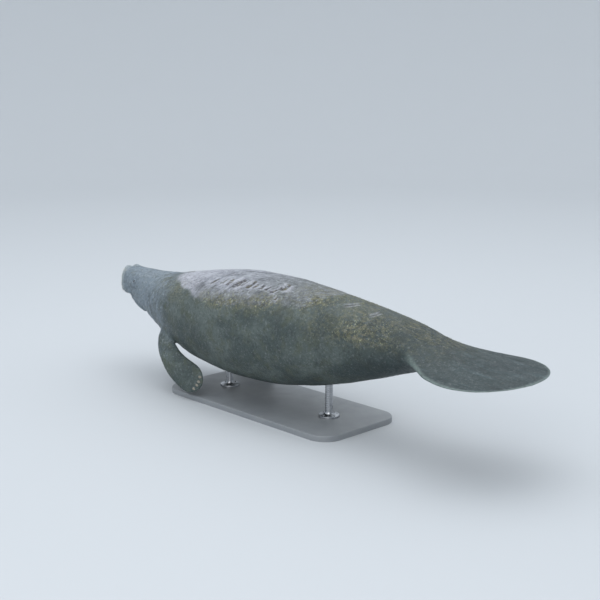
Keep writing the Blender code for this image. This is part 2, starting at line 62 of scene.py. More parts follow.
Colour = tuple[float, float, float, float]
Points = np.ndarray
Triple = tuple[float, float, float]
TURN = 2 * math.pi
ROOT = "root"
STREAK_ANGLE = 1.01
FLOAT, VECTOR, GEOMETRY, WHOLE, MATERIAL = (
    f"NodeSocket{word}" for word in ("Float", "Vector", "Geometry", "Int", "Material")
)


class Side(Enum):
    """The animal's two sides, as the sign of Y."""

    LEFT = -1
    RIGHT = 1

    @property
    def word(self) -> str:
        """The side's name in lower case."""
        return self.name.lower()


class Flesh(Enum):
    """The closed surfaces that the skin is joined from, as face marks."""

    TRUNK = 0
    JAW = 1
    FLIPPER = 2


def srgb(*channels: float) -> Colour:
    """Turns red, green and blue of 0 to 255 into the linear values that a shader takes."""
    shares = [channel / 255 for channel in channels]
    linear = [s / 12.92 if s <= 0.04045 else ((s + 0.055) / 1.055) ** 2.4 for s in shares]
    return (*linear, 1.0)


def smooth(share: Points | float) -> Points:
    """An even step from 0 to 1, flat at both ends."""
    share = np.clip(share, 0.0, 1.0)
    return share * share * (3 - 2 * share)


def ramp(value: Points, start: float, reach: float) -> Points:
    """A smooth rise from 0 at the start to 1 at a reach from it, to the side of the reach's sign."""
    return smooth((value - start) / reach)


def bell(distance: Points, width: float) -> Points:
    """A soft bump that is 1 at no distance and fades over the width."""
    return np.exp(-((distance / width) ** 2))


def power(value: Points, exponent: Points | float) -> Points:
    """The value's size raised to a power, with its sign kept."""
    return np.sign(value) * np.abs(value) ** exponent


def around(sides: int) -> Points:
    """Even angles round a ring."""
    return np.arange(sides) / sides * TURN


def through(places: Sequence[float], values: Sequence[float], wanted: Points) -> Points:
    """A smooth curve through some values that never passes beyond them.

    Args:
        places: Where the values are, rising.
        values: The values there.
        wanted: Where the curve is read.

    Returns:
        The curve's values at the wanted places.
    """
    places, values = np.asarray(places, float), np.asarray(values, float)
    steps = np.diff(places)
    slopes = np.diff(values) / steps
    tangents = np.zeros(len(places))
    for i in np.nonzero(slopes[:-1] * slopes[1:] > 0)[0]:
        before, after = 2 * steps[i + 1] + steps[i], steps[i + 1] + 2 * steps[i]
        tangents[i + 1] = (before + after) / (before / slopes[i] + after / slopes[i + 1])
    tangents[0], tangents[-1] = slopes[0], slopes[-1]
    wanted = np.clip(wanted, places[0], places[-1])
    k = np.clip(np.searchsorted(places, wanted) - 1, 0, len(steps) - 1)
    s = (wanted - places[k]) / steps[k]
    start = (1 + 2 * s) * (1 - s) ** 2 * values[k] + s * (1 - s) ** 2 * steps[k] * tangents[k]
    end = s * s * (3 - 2 * s) * values[k + 1] + s * s * (s - 1) * steps[k] * tangents[k + 1]
    return start + end


def curves(stations: Sequence[object], place: str, names: Sequence[str], wanted: Points) -> list[Points]:
    """Reads sizes between stations.

    Args:
        stations: The stations, in order.
        place: The field that says where each one is.
        names: The fields that are read.
        wanted: Where they are read.

    Returns:
        The values of each field at the wanted places.
    """
    places = [getattr(station, place) for station in stations]
    return [through(places, [getattr(station, name) for station in stations], wanted) for name in names]


@dataclass(frozen=True)
class LatticeNoise:
    """Smooth noise on a lattice, the same for the same seed."""

    seed: int

    def _corner(self, cell: Points) -> Points:
        """A value from -1 to 1 for each lattice corner, from its scrambled number."""
        primes = np.array([73856093, 19349663, 83492791], np.uint32)
        mixed = (cell.astype(np.uint32) * primes).sum(axis=1, dtype=np.uint32)
        mixed ^= np.uint32(self.seed * 2654435 % 2**32)
        mixed = (mixed ^ (mixed >> np.uint32(13))) * np.uint32(1274126177)
        mixed ^= mixed >> np.uint32(16)
        return (mixed & np.uint32(0xFFFF)).astype(float) / 32767.5 - 1

    def at(self, points: Points) -> Points:
        """Reads a value from about -1 to 1 at each point, given in lattice cells."""
        cell = np.floor(points)
        part = points - cell
        blend = part**3 * (part * (6 * part - 15) + 10)
        cell = cell.astype(np.int64)
        total = np.zeros(len(points))
        for corner in np.ndindex(2, 2, 2):
            weight = np.prod(np.where(np.array(corner) == 1, blend, 1 - blend), axis=1)
            total += weight * self._corner(cell + np.array(corner))
        return total

    def layered(self, points: Points, layers: int = 3) -> Points:
        """Noise with finer layers added, each half as strong as the last."""
        total = sum(LatticeNoise(self.seed + k).at(points * 2.03**k) * 0.5**k for k in range(layers))
        return total / (2 - 0.5 ** (layers - 1))

    def furrows(self, points: Points, sharpness: float) -> Points:
        """A net of furrows: 1 along the noise's zero lines, falling off to both sides."""
        return np.exp(-np.abs(self.layered(points, 2)) * sharpness)


@dataclass(frozen=True)
class Station:
    """One cross-section of the trunk, with sizes from the level axis in metres."""

    name: str
    share: float
    half_width: float
    top: float
    bottom: float
    squareness: float


@dataclass(frozen=True)
class Swelling:
    """A soft lump on both sides alike, or a hollow where its height is below zero."""

    name: str
    middle: Triple
    reach: Triple
    height: float


@dataclass(frozen=True)
class Crease:
    """A fold round the head or neck: where it crosses the back, its slant, width and depth."""

    name: str
    along: float
    slant: float
    width: float
    depth: float
    lowest: float


def lumps(swellings: Sequence[Swelling], own: Points) -> Points:
    """How far some swellings stand out at each own point."""
    at = np.stack([own[..., 0], np.abs(own[..., 1]), own[..., 2]], axis=-1)
    return sum(s.height * np.exp(-(((at - s.middle) / s.reach) ** 2).sum(axis=-1)) for s in swellings)


@dataclass(frozen=True)
class Trunk:
    """The animal from snout to tail, without its jaw and flippers.

    A place on it is given as metres along from the snout's tip and an angle, with 0 on the right
    side, 90 degrees on the back and 180 on the left side.
    """

    length: float = 3.0
    stations: tuple[Station, ...] = (
        Station("muzzle", 0.020, 0.090, 0.083, -0.080, 2.50),
        Station("bridge", 0.045, 0.104, 0.081, -0.100, 2.40),
        Station("eyes", 0.070, 0.122, 0.082, -0.135, 2.30),
        Station("cheeks", 0.105, 0.148, 0.084, -0.182, 2.20),
        Station("nape", 0.150, 0.192, 0.096, -0.241, 2.20),
        Station("shoulders", 0.220, 0.253, 0.130, -0.305, 2.20),
        Station("chest", 0.300, 0.297, 0.168, -0.360, 2.20),
        Station("back", 0.390, 0.311, 0.194, -0.385, 2.20),
        Station("belly", 0.470, 0.300, 0.193, -0.378, 2.20),
        Station("loins", 0.550, 0.270, 0.176, -0.344, 2.20),
        Station("hips", 0.630, 0.233, 0.153, -0.284, 2.15),
        Station("stock", 0.710, 0.193, 0.124, -0.210, 2.10),
        Station("stock end", 0.775, 0.166, 0.091, -0.142, 2.10),
        Station("paddle root", 0.805, 0.176, 0.062, -0.116, 2.10),
        Station("blade", 0.840, 0.235, 0.026, -0.104, 2.05),
        Station("broad blade", 0.880, 0.303, -0.010, -0.094, 2.00),
        Station("widest blade", 0.920, 0.331, -0.029, -0.085, 2.00),
        Station("thin blade", 0.960, 0.331, -0.044, -0.080, 2.00),
        Station("tail tip", 1.000, 0.331, -0.054, -0.072, 2.00),
    )
    swellings: tuple[Swelling, ...] = (
        Swelling("upper lip", (0.040, 0.056, -0.046), (0.045, 0.032, 0.034), 0.019),
        Swelling("lip edge", (0.090, 0.080, -0.066), (0.045, 0.026, 0.022), 0.010),
        Swelling("nostril mound", (0.028, 0.032, 0.080), (0.020, 0.020, 0.030), 0.009),
        Swelling("muzzle cleft", (0.010, 0.000, -0.030), (0.050, 0.009, 0.050), -0.014),
        Swelling("brow", (0.190, 0.110, 0.050), (0.030, 0.026, 0.018), 0.006),
        Swelling("under the eye", (0.195, 0.125, -0.005), (0.030, 0.030, 0.014), 0.003),
        Swelling("cheek", (0.262, 0.150, -0.085), (0.060, 0.050, 0.060), 0.010),
    )
    creases: tuple[Crease, ...] = (
        Crease("behind the muzzle", 0.080, 0.30, 0.008, 0.0070, -0.070),
        Crease("bridge", 0.112, 0.10, 0.007, 0.0030, 0.030),
        Crease("upper bridge", 0.142, 0.05, 0.008, 0.0025, 0.030),
        Crease("nape", 0.392, -0.20, 0.016, 0.0040, -0.400),
        Crease("mid neck", 0.458, -0.12, 0.018, 0.0045, -0.400),
        Crease("neck base", 0.516, -0.08, 0.016, 0.0030, -0.400),
    )
    crease_fade: float = 0.030
    crease_level: float = 0.080
    muzzle_depth: float = 0.060
    muzzle_bluntness: float = 2.5
    muzzle_lean: float = 0.22
    muzzle_lean_end: float = 0.20
    blade_start: float = 0.755
    blade_full: float = 0.865
    blade_round_from: float = 0.920
    ridge_share: float = 0.42
    ridge_power: float = 5.0
    swell_power: float = 0.9
    tip_power: float = 8.0

    @property
    def axis_height(self) -> float:
        """Height of the level axis over the floor, from the node that the back's top is in."""
        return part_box("chest")[1].z - max(station.top for station in self.stations)

    def to_room(self, own: Points) -> Points:
        """Moves own points to the part's frame."""
        return np.asarray(own) + (-self.length / 2, 0.0, self.axis_height)

    def to_own(self, points: Points) -> Points:
        """Moves points of the part's frame to the animal's own."""
        return points - self.to_room((0, 0, 0))

    def sizes(self, along: Points) -> tuple[Points, Points, Points, Points]:
        """Half width, middle level, half height and squareness at metres along."""
        share = np.asarray(along, float) / self.length
        names = ("half_width", "top", "bottom", "squareness")
        half_width, top, bottom, squareness = curves(self.stations, "share", names, share)
        front = np.clip(1 - share * self.length / self.muzzle_depth, 0, 1)
        scale = (1 - front**self.muzzle_bluntness) ** (1 / self.muzzle_bluntness)
        rear = np.clip((share - self.blade_round_from) / (1 - self.blade_round_from), 0, 1)
        half_width = half_width * scale * np.sqrt(1 - rear**2)
        half_height = (top - bottom) / 2 * scale * np.sqrt(1 - rear**self.tip_power)
        return half_width, (top + bottom) / 2, half_height, squareness

    def bare(self, along: Points | float, angle: Points | float) -> Points:
        """Own points of the trunk with no folds, at metres along and angles."""
        along, angle = np.broadcast_arrays(np.asarray(along, float), np.asarray(angle, float))
        half_width, middle, half_height, squareness = self.sizes(along)
        up = np.sin(angle)
        y = half_width * power(np.cos(angle), 2 / squareness)
        blade = ramp(along / self.length, self.blade_start, self.blade_full - self.blade_start)
        ridge = self.ridge_share * np.abs(up) ** self.ridge_power
        ridge = ridge + (1 - self.ridge_share) * np.abs(up) ** self.swell_power
        height = (1 - blade) * np.abs(up) ** (2 / squareness) + blade * ridge
        z = middle + half_height * np.sign(up) * height
        muzzle_level = (self.stations[0].top + self.stations[0].bottom) / 2
        lean = self.muzzle_lean * smooth(1 - along / self.muzzle_lean_end) * (muzzle_level - z)
        return np.stack([along + lean, y, z], axis=-1)

    def outward(self, along: Points | float, angle: Points | float) -> Points:
        """The outward direction of the bare trunk at each place."""
        step = 1e-4
        along, angle = np.maximum(np.asarray(along, float), 2 * step), np.asarray(angle)
        lengthways = self.bare(along + step, angle) - self.bare(along - step, angle)
        normal = np.cross(self.bare(along, angle + step) - self.bare(along, angle - step), lengthways)
        return normal / np.maximum(np.linalg.norm(normal, axis=-1, keepdims=True), 1e-12)

    def relief(self, own: Points) -> Points:
        """How far the folds and lumps stand out at each own point."""
        along, level = own[..., 0], own[..., 2]
        lift = lumps(self.swellings, own)
        for fold in self.creases:
            at = fold.along + fold.slant * (self.crease_level - level)
            shown = ramp(level, fold.lowest, self.crease_fade)
            lift = lift - fold.depth * shown * bell(along - at, fold.width)
        return lift

    def skin(self, along: Points | float, angle: Points | float) -> Points:
        """Points of the trunk with its folds, in the part's frame."""
        own = self.bare(along, angle)
        return self.to_room(own + self.outward(along, angle) * self.relief(own)[..., None])

    def place(self, along: float, degrees: float, side: Side) -> tuple[Vector, Vector]:
        """A place on the skin of one side.

        Args:
            along: Metres from the snout's tip.
            degrees: Degrees above that side.
            side: The side of the animal.

        Returns:
            The place and the outward direction there, in the part's frame.
        """
        angle, mirror = math.radians(degrees), (1.0, side.value, 1.0)
        return Vector(self.skin(along, angle) * mirror), Vector(self.outward(along, angle) * mirror)


@dataclass(frozen=True)
class JawStation:
    """One cross-section of the lower jaw."""

    along: float
    half_width: float
    top: float
    bottom: float


@dataclass(frozen=True)
class Jaw:
    """The lower jaw, a pad behind and below the upper lips."""

    trunk: Trunk
    stations: tuple[JawStation, ...] = (
        JawStation(0.066, 0.048, -0.060, -0.103),
        JawStation(0.090, 0.062, -0.058, -0.117),
        JawStation(0.130, 0.078, -0.060, -0.131),
        JawStation(0.170, 0.092, -0.064, -0.145),
        JawStation(0.210, 0.100, -0.080, -0.158),
        JawStation(0.250, 0.096, -0.110, -0.170),
    )
    tip: float = 0.038
    end: float = 0.295
    squareness: float = 2.6
    sides: int = 72
    lengths: int = 44
    cap_rings: int = 14

    def rings(self) -> tuple[list[Points], list[Points]]:
        """The jaw's rings and its two end points, in the part's frame."""
        first, last = self.stations[0], self.stations[-1]
        nose, tail = first.along - self.tip, self.end - last.along
        turn = np.linspace(0.06, 0.98, self.cap_rings) * math.pi / 2
        front, rear = first.along - nose * np.cos(turn), (last.along + tail * np.cos(turn))[::-1]
        middle = np.linspace(first.along, last.along, self.lengths)
        angles = around(self.sides)
        rings = []
        for along in np.concatenate([front, middle, rear]):
            half_width, top, bottom = curves(self.stations, "along", ("half_width", "top", "bottom"), along)
            beyond = max((first.along - along) / nose, (along - last.along) / tail, 0.0)
            scale = math.sqrt(1 - beyond**2)
            y = half_width * scale * power(np.cos(angles), 2 / self.squareness)
            rise = (top - bottom) / 2 * scale * power(np.sin(angles), 2 / self.squareness)
            ring = np.stack([np.full_like(y, along), y, (top + bottom) / 2 + rise], axis=-1)
            rings.append(self.trunk.to_room(ring))
        ends = ((self.tip, first), (self.end, last))
        return rings, [self.trunk.to_room((at, 0, (by.top + by.bottom) / 2)) for at, by in ends]


@dataclass(frozen=True)
class FlipperStation:
    """One cross-section of a flipper, by degrees below the trunk's side and its stand-off."""

    name: str
    along: float
    below: float
    stand_off: float
    half_chord: float
    half_thickness: float


@dataclass(frozen=True)
class Flipper:
    """A flipper that hangs back and down from the chest, with four nails near its tip."""

    trunk: Trunk
    side: Side
    stations: tuple[FlipperStation, ...] = (
        FlipperStation("inside the chest", 0.610, 34.0, -0.070, 0.056, 0.034),
        FlipperStation("shoulder", 0.650, 36.0, 0.012, 0.060, 0.034),
        FlipperStation("elbow", 0.720, 40.0, 0.070, 0.062, 0.028),
        FlipperStation("wrist", 0.830, 46.0, 0.105, 0.074, 0.023),
        FlipperStation("palm", 0.930, 50.0, 0.120, 0.080, 0.017),
        FlipperStation("tip", 1.030, 52.0, 0.130, 0.078, 0.010),
    )
    face: Triple = (0.10, 0.86, 0.42)
    round_from: float = 0.80
    rings_straight: int = 52
    rings_round: int = 16
    sides: int = 52
    nail_count: int = 4
    nail_size: Triple = (0.0130, 0.0080, 0.0040)
    nail_spread: float = 0.62
    nail_along: float = 0.955
    nail_arc: float = 0.05
    nail_fan: float = 0.5
    nail_rise: float = 0.72
    nail_hook: float = 0.30
    nail_taper: float = 0.18
    nail_detail: tuple[int, int] = (24, 16)

    def at(self, shares: Points) -> tuple[Points, Points, Points]:
        """Reads the flipper at shares of its length.

        Args:
            shares: From 0 inside the chest to 1 at the tip.

        Returns:
            The middle points, the directions ahead, and the half chords and half thicknesses.
        """
        points = []
        for station in self.stations:
            skin, out = self.trunk.place(station.along, -station.below, self.side)
            points.append(skin + Vector((0, out.y, out.z)).normalized() * station.stand_off)
        points = np.array(points)
        places = np.concatenate([[0], np.cumsum(np.linalg.norm(np.diff(points, axis=0), axis=1))])
        places /= places[-1]
        sizes = np.array([(station.half_chord, station.half_thickness) for station in self.stations])

        def read(columns: Points, wanted: Points) -> Points:
            """Smooth curves through the columns, by share of the length."""
            return np.stack([through(places, column, wanted) for column in columns.T], axis=-1)

        step = 0.01
        ahead = read(points, np.minimum(shares + step, 1)) - read(points, np.maximum(shares - step, 0))
        ahead /= np.linalg.norm(ahead, axis=1, keepdims=True)
        return read(points, shares), ahead, read(sizes, shares)

    def axes(self, ahead: Points) -> tuple[Vector, Vector]:
        """The chord and the outer face, square to the flipper's length."""
        side = self.side.value
        face = Vector((self.face[0], self.face[1] * side, self.face[2])).normalized()
        chord = Vector(ahead).cross(face).normalized() * side
        return chord, chord.cross(Vector(ahead)).normalized() * side

    def _beyond(self, share: float) -> float:
        """How far a share is into the round end, from 0 to 1."""
        return max((share - self.round_from) / (1 - self.round_from), 0.0)

    def rings(self) -> tuple[list[Points], list[Points]]:
        """The flipper's rings and its two end points."""
        turn = np.sin(np.linspace(0, math.pi / 2, self.rings_round + 1)[:-1])
        straight = np.linspace(0, self.round_from, self.rings_straight, endpoint=False)
        shares = np.concatenate([straight, self.round_from + (1 - self.round_from) * turn])
        angles = around(self.sides)[:, None]
        rings = []
        for share, middle, ahead, (chord_size, thickness) in zip(shares, *self.at(shares)):
            chord, face = self.axes(ahead)
            beyond = self._beyond(share)
            across = np.cos(angles) * np.array(chord) * chord_size * math.sqrt(1 - beyond**2)
            out = np.sin(angles) * np.array(face) * thickness * math.sqrt(1 - beyond**6)
            rings.append(middle + across + out)
        return rings, [rings[0].mean(axis=0), self.at(np.array([1.0]))[0][0]]

    def _nail_places(self) -> list[tuple[Vector, Matrix]]:
        """Where each nail lies, with its long, cross and outward axes."""
        found = []
        for spread in np.linspace(-self.nail_spread, self.nail_spread, self.nail_count):
            share = self.nail_along - self.nail_arc * spread**2
            (middle,), (ahead,), (sizes,) = self.at(np.array([share]))
            chord, face = self.axes(ahead)
            edge = sizes[0] * math.sqrt(1 - self._beyond(share) ** 2)
            place = Vector(middle) + chord * edge * spread
            place += face * sizes[1] * math.cos(spread) * self.nail_rise
            forward = (Vector(ahead) + chord * spread * self.nail_fan).normalized()
            found.append((place, frame_on(face, forward)))
        return found

    def nails(self) -> bpy.types.Object:
        """The nails as one piece, each a flattened and slightly hooked oval."""
        length, width, thickness = self.nail_size
        joined = bmesh.new()
        for place, axes in self._nail_places():
            before = set(joined.verts)
            segments, rings = self.nail_detail
            bmesh.ops.create_uvsphere(joined, u_segments=segments, v_segments=rings, radius=1.0)
            for vert in [vert for vert in joined.verts if vert not in before]:
                x, y, z = vert.co
                hook = -self.nail_hook * max(x, 0.0) ** 2
                shape = Vector((x * length, y * width * (1 - self.nail_taper * x), (z + hook) * thickness))
                vert.co = place + axes @ shape
        return shaded(from_bmesh(joined, f"nails_{self.side.word}"))


def frame_on(normal: Vector, forward: Vector) -> Matrix:
    """Three axes as a matrix: along the surface, across it and out of it."""
    out = normal.normalized()
    across = out.cross(forward).normalized()
    return Matrix((across.cross(out), across, out)).transposed()


def object_of(data: bpy.types.ID, name: str) -> bpy.types.Object:
    """Links a mesh, light or camera to the scene as an object."""
    made = bpy.data.objects.new(name, data)
    bpy.context.scene.collection.objects.link(made)
    return made


def from_bmesh(bm: bmesh.types.BMesh, name: str, mark: Flesh | None = None) -> bpy.types.Object:
    """Turns a bmesh into an object.

    Args:
        bm: The bmesh, which is freed.
        name: The object's name.
        mark: Which flesh its faces are marked as, if it is joined later.

    Returns:
        The new object.
    """
    bmesh.ops.recalc_face_normals(bm, faces=bm.faces)
    mesh = bpy.data.meshes.new(name)
    bm.to_mesh(mesh)
    bm.free()
    if mark is not None:
        for _ in Flesh:
            mesh.materials.append(None)
        mesh.polygons.foreach_set("material_index", np.full(len(mesh.polygons), mark.value, np.int32))
    return object_of(mesh, name)


def shaded(made: bpy.types.Object, sharp: float | None = None) -> bpy.types.Object:
    """Shades an object smooth, with sharp edges over some degrees where they are given."""
    made.data.shade_smooth()
    if sharp is not None:
        made.data.set_sharp_from_angle(angle=math.radians(sharp))
    return made


def tube(rows: Sequence[Points], poles: Sequence[Points]) -> bmesh.types.BMesh:
    """A closed net over rings of points, with a pole at each end."""
    bm = bmesh.new()
    rings = [[bm.verts.new(point) for point in row] for row in rows]
    count = len(rings[0])
    for near, far in zip(rings, rings[1:]):
        for i in range(count):
            k = (i + 1) % count
            bm.faces.new((near[i], near[k], far[k], far[i]))
    for ring, pole in zip((rings[0], rings[-1]), poles):
        tip = bm.verts.new(pole)
        for i in range(count):
            bm.faces.new((ring[i], ring[(i + 1) % count], tip))
    return bm


def turned(profile: Sequence[tuple[float, float]], steps: int) -> bmesh.types.BMesh:
    """A net turned round the upright axis from a profile of radii and heights."""
    bm = bmesh.new()
    verts = [bm.verts.new((radius, 0, height)) for radius, height in profile]
    edges = [bm.edges.new(pair) for pair in zip(verts, verts[1:])]
    bmesh.ops.spin(bm, geom=verts + edges, angle=TURN, steps=steps, axis=(0, 0, 1), cent=(0, 0, 0))
    bmesh.ops.remove_doubles(bm, verts=bm.verts, dist=1e-6)
    return bm


def ellipsoid(
    name: str, centre: Vector, radii: Triple, axes: Matrix, detail: tuple[int, int]
) -> bpy.types.Object:
    """A closed ellipsoid turned by three axes."""
    bm = bmesh.new()
    bmesh.ops.create_uvsphere(bm, u_segments=detail[0], v_segments=detail[1], radius=1.0)
    place = Matrix.Translation(centre) @ axes.to_4x4() @ Matrix.Diagonal((*radii, 1.0))
    bmesh.ops.transform(bm, matrix=place, verts=bm.verts)
    return from_bmesh(bm, name)


def evaluated(made: bpy.types.Object) -> bpy.types.Mesh:
    """A new mesh with the result of an object's modifiers."""
    return bpy.data.meshes.new_from_object(made.evaluated_get(bpy.context.evaluated_depsgraph_get()))


def combine(made: bpy.types.Object, operation: str, others: Sequence[bpy.types.Object]) -> None:
    """Joins objects to one or cuts them out of it, and removes them."""
    for k, other in enumerate(others):
        modifier = made.modifiers.new(f"{operation} {k}", "BOOLEAN")
        modifier.operation, modifier.object, modifier.solver = operation, other, "MANIFOLD"
    mesh = evaluated(made)
    made.modifiers.clear()
    old, made.data = made.data, mesh
    bpy.data.meshes.remove(old)
    mesh.name = made.name
    for other in others:
        bpy.data.objects.remove(other)


def column(data: bpy.types.bpy_prop_collection, name: str, width: int = 1, kind: type = float) -> Points:
    """Reads one property of all the items of a mesh, a row each where it has a width."""
    flat = np.empty(len(data) * width, kind)
    data.foreach_get(name, flat)
    return flat.reshape(-1, width) if width > 1 else flat


def surface(mesh: bpy.types.Mesh) -> tuple[Points, Points]:
    """A mesh's points and its outward directions at them."""
    return column(mesh.vertices, "co", 3), column(mesh.vertex_normals, "vector", 3)


def set_points(mesh: bpy.types.Mesh, points: Points) -> None:
    """Moves a mesh's points."""
    mesh.vertices.foreach_set("co", points.astype(np.float32).ravel())
    mesh.update()


def distance_to(points: Points, targets: Points, reach: float) -> Points:
    """Distance from each point to the nearest target, or the reach where none is nearer."""
    tree = KDTree(len(targets))
    for k, target in enumerate(targets):
        tree.insert(target, k)
    tree.balance()
    low, high = targets.min(axis=0) - reach, targets.max(axis=0) + reach
    found = np.full(len(points), reach)
    for k in np.nonzero(((points > low) & (points < high)).all(axis=1))[0]:
        found[k] = min(tree.find(points[k])[2], reach)
    return found


@dataclass(frozen=True)
class Softening:
    """Draws points near some targets towards their neighbours' middle."""

    reach: float
    strength: float
    rounds: int

    def on(self, points: Points, edges: Points, targets: Points, share: Points | float = 1.0) -> Points:
        """Softens a surface.

        Args:
            points: The surface's points.
            edges: Its edges, as pairs of point numbers.
            targets: The points that it is softened round.
            share: How much of the strength each point gets.

        Returns:
            The points after the softening.
        """
        near, far = edges[:, 0], edges[:, 1]
        count = np.bincount(edges.ravel(), minlength=len(points)).astype(float)[:, None]
        closeness = 1 - smooth(distance_to(points, targets, self.reach) / self.reach)
        weights = (self.strength * closeness * share)[:, None]
        for _ in range(self.rounds):
            sums = [
                np.bincount(near, axis[far], len(points)) + np.bincount(far, axis[near], len(points))
                for axis in points.T
            ]
            points = points + (np.stack(sums, axis=1) / count - points) * weights
        return points


@dataclass(frozen=True)
class Scar:
    """A healed gash across the back, from one place on the left side to another."""

    start: tuple[float, float]
    end: tuple[float, float]
    width: float
    depth: float


@dataclass(frozen=True)
class Opening:
    """A hole in the skin at one place on each side, by default the ear's."""

    trunk: Trunk
    side: Side
    along: float = 0.318
    degrees: float = 20.0
    radii: Triple = (0.0020, 0.0020, 0.010)
    detail: tuple[int, int] = (16, 10)
    turn: float = 0.0
    sunk: float = 0.0
    spared: float = 0.0

    def frame(self) -> tuple[Vector, Vector, Matrix]:
        """The centre, the outward direction and the axes."""
        skin, out = self.trunk.place(self.along, self.degrees, self.side)
        forward = Matrix.Rotation(math.radians(self.turn) * self.side.value, 3, out) @ Vector((-1, 0, 0))
        return skin - out * self.sunk, out, frame_on(out, forward)

    def cutter(self) -> bpy.types.Object:
        """The solid that opens the hole."""
        centre, _, axes = self.frame()
        return ellipsoid("cutter", centre, self.radii, axes, self.detail)

    def local(self, points: Points) -> Points:
        """Points along the opening's axes, from its middle on the skin."""
        centre, out, axes = self.frame()
        return (points - np.array(centre + out * self.sunk)) @ np.array(axes)


@dataclass(frozen=True)
class Eye(Opening):
    """One eye in its socket, with the ring of lids and the wrinkles round it."""

    along: float = 0.200
    degrees: float = 22.0
    radii: Triple = (0.0118, 0.0118, 0.0118)
    detail: tuple[int, int] = (48, 32)
    sunk: float = 0.0060
    spared: float = 0.013225
    ball_radius: float = 0.0115
    ball_detail: tuple[int, int] = (64, 40)
    lid_ring: float = 0.0094
    lid_width: float = 0.0034
    lid_height: float = 0.0044
    opening_shape: tuple[float, float] = (0.84, 1.18)
    folds: tuple[Triple, ...] = (
        (0.0155, 0.0018, 0.0018),
        (0.0215, 0.0014, 0.0022),
        (0.0290, 0.0010, 0.0030),
    )

    def relief(self, points: Points) -> Points:
        """The lids and the small folds that circle them and run out from them."""
        x, y, z = self.local(points).T
        radius = np.hypot(x * self.opening_shape[0], y * self.opening_shape[1])
        turn = np.arctan2(y, x)
        lift = self.lid_height * bell(radius - self.lid_ring, self.lid_width)
        for ring, depth, width in self.folds:
            lift -= depth * bell(radius - ring - 0.0012 * np.sin(turn * 2 + ring * 900), width)
        spokes = 0.5 + 0.5 * np.cos(turn * 13 + 1.1 * np.sin(turn * 3))
        return bell(z, 0.03) * (lift - 0.0008 * spokes * bell(radius - 0.019, 0.007))

    def ball(self) -> bpy.types.Object:
        """The eyeball."""
        centre, _, axes = self.frame()
        radii = (self.ball_radius,) * 3
        return shaded(ellipsoid(f"eyeball_{self.side.word}", centre, radii, axes, self.ball_detail))


@dataclass(frozen=True)
class Nostril(Opening):
    """One nostril, a slanted oval that runs in and back, with a raised rim."""

    along: float = 0.026
    degrees: float = 71.0
    radii: Triple = (0.0145, 0.0095, 0.0150)
    detail: tuple[int, int] = (48, 32)
    turn: float = 30.0
    spared: float = 0.0174
    rim_ring: float = 1.18
    rim_height: float = 0.0022
    rim_width: float = 0.26

    def relief(self, points: Points) -> Points:
        """The raised rim."""
        x, y, z = self.local(points).T
        ring = np.hypot(x / self.radii[0], y / self.radii[1])
        return self.rim_height * bell(z, 0.012) * bell(ring - self.rim_ring, self.rim_width)

    def lining(self, points: Points) -> Points:
        """How surely each point lines the nostril."""
        local = self.local(points)
        inside = np.linalg.norm(local / (np.array(self.radii) * 1.04), axis=1) < 1
        return inside * ramp(local[:, 2], 0.001, -0.005)


@dataclass(frozen=True)
class FoldNet:
    """A net of small folds, and how deep it is everywhere and on the head, neck and tail root."""

    seed: int
    stretch: Triple
    sharpness: float
    depth: float
    everywhere: float
    head: float = 0.0
    neck: float = 0.0
    root: float = 0.0


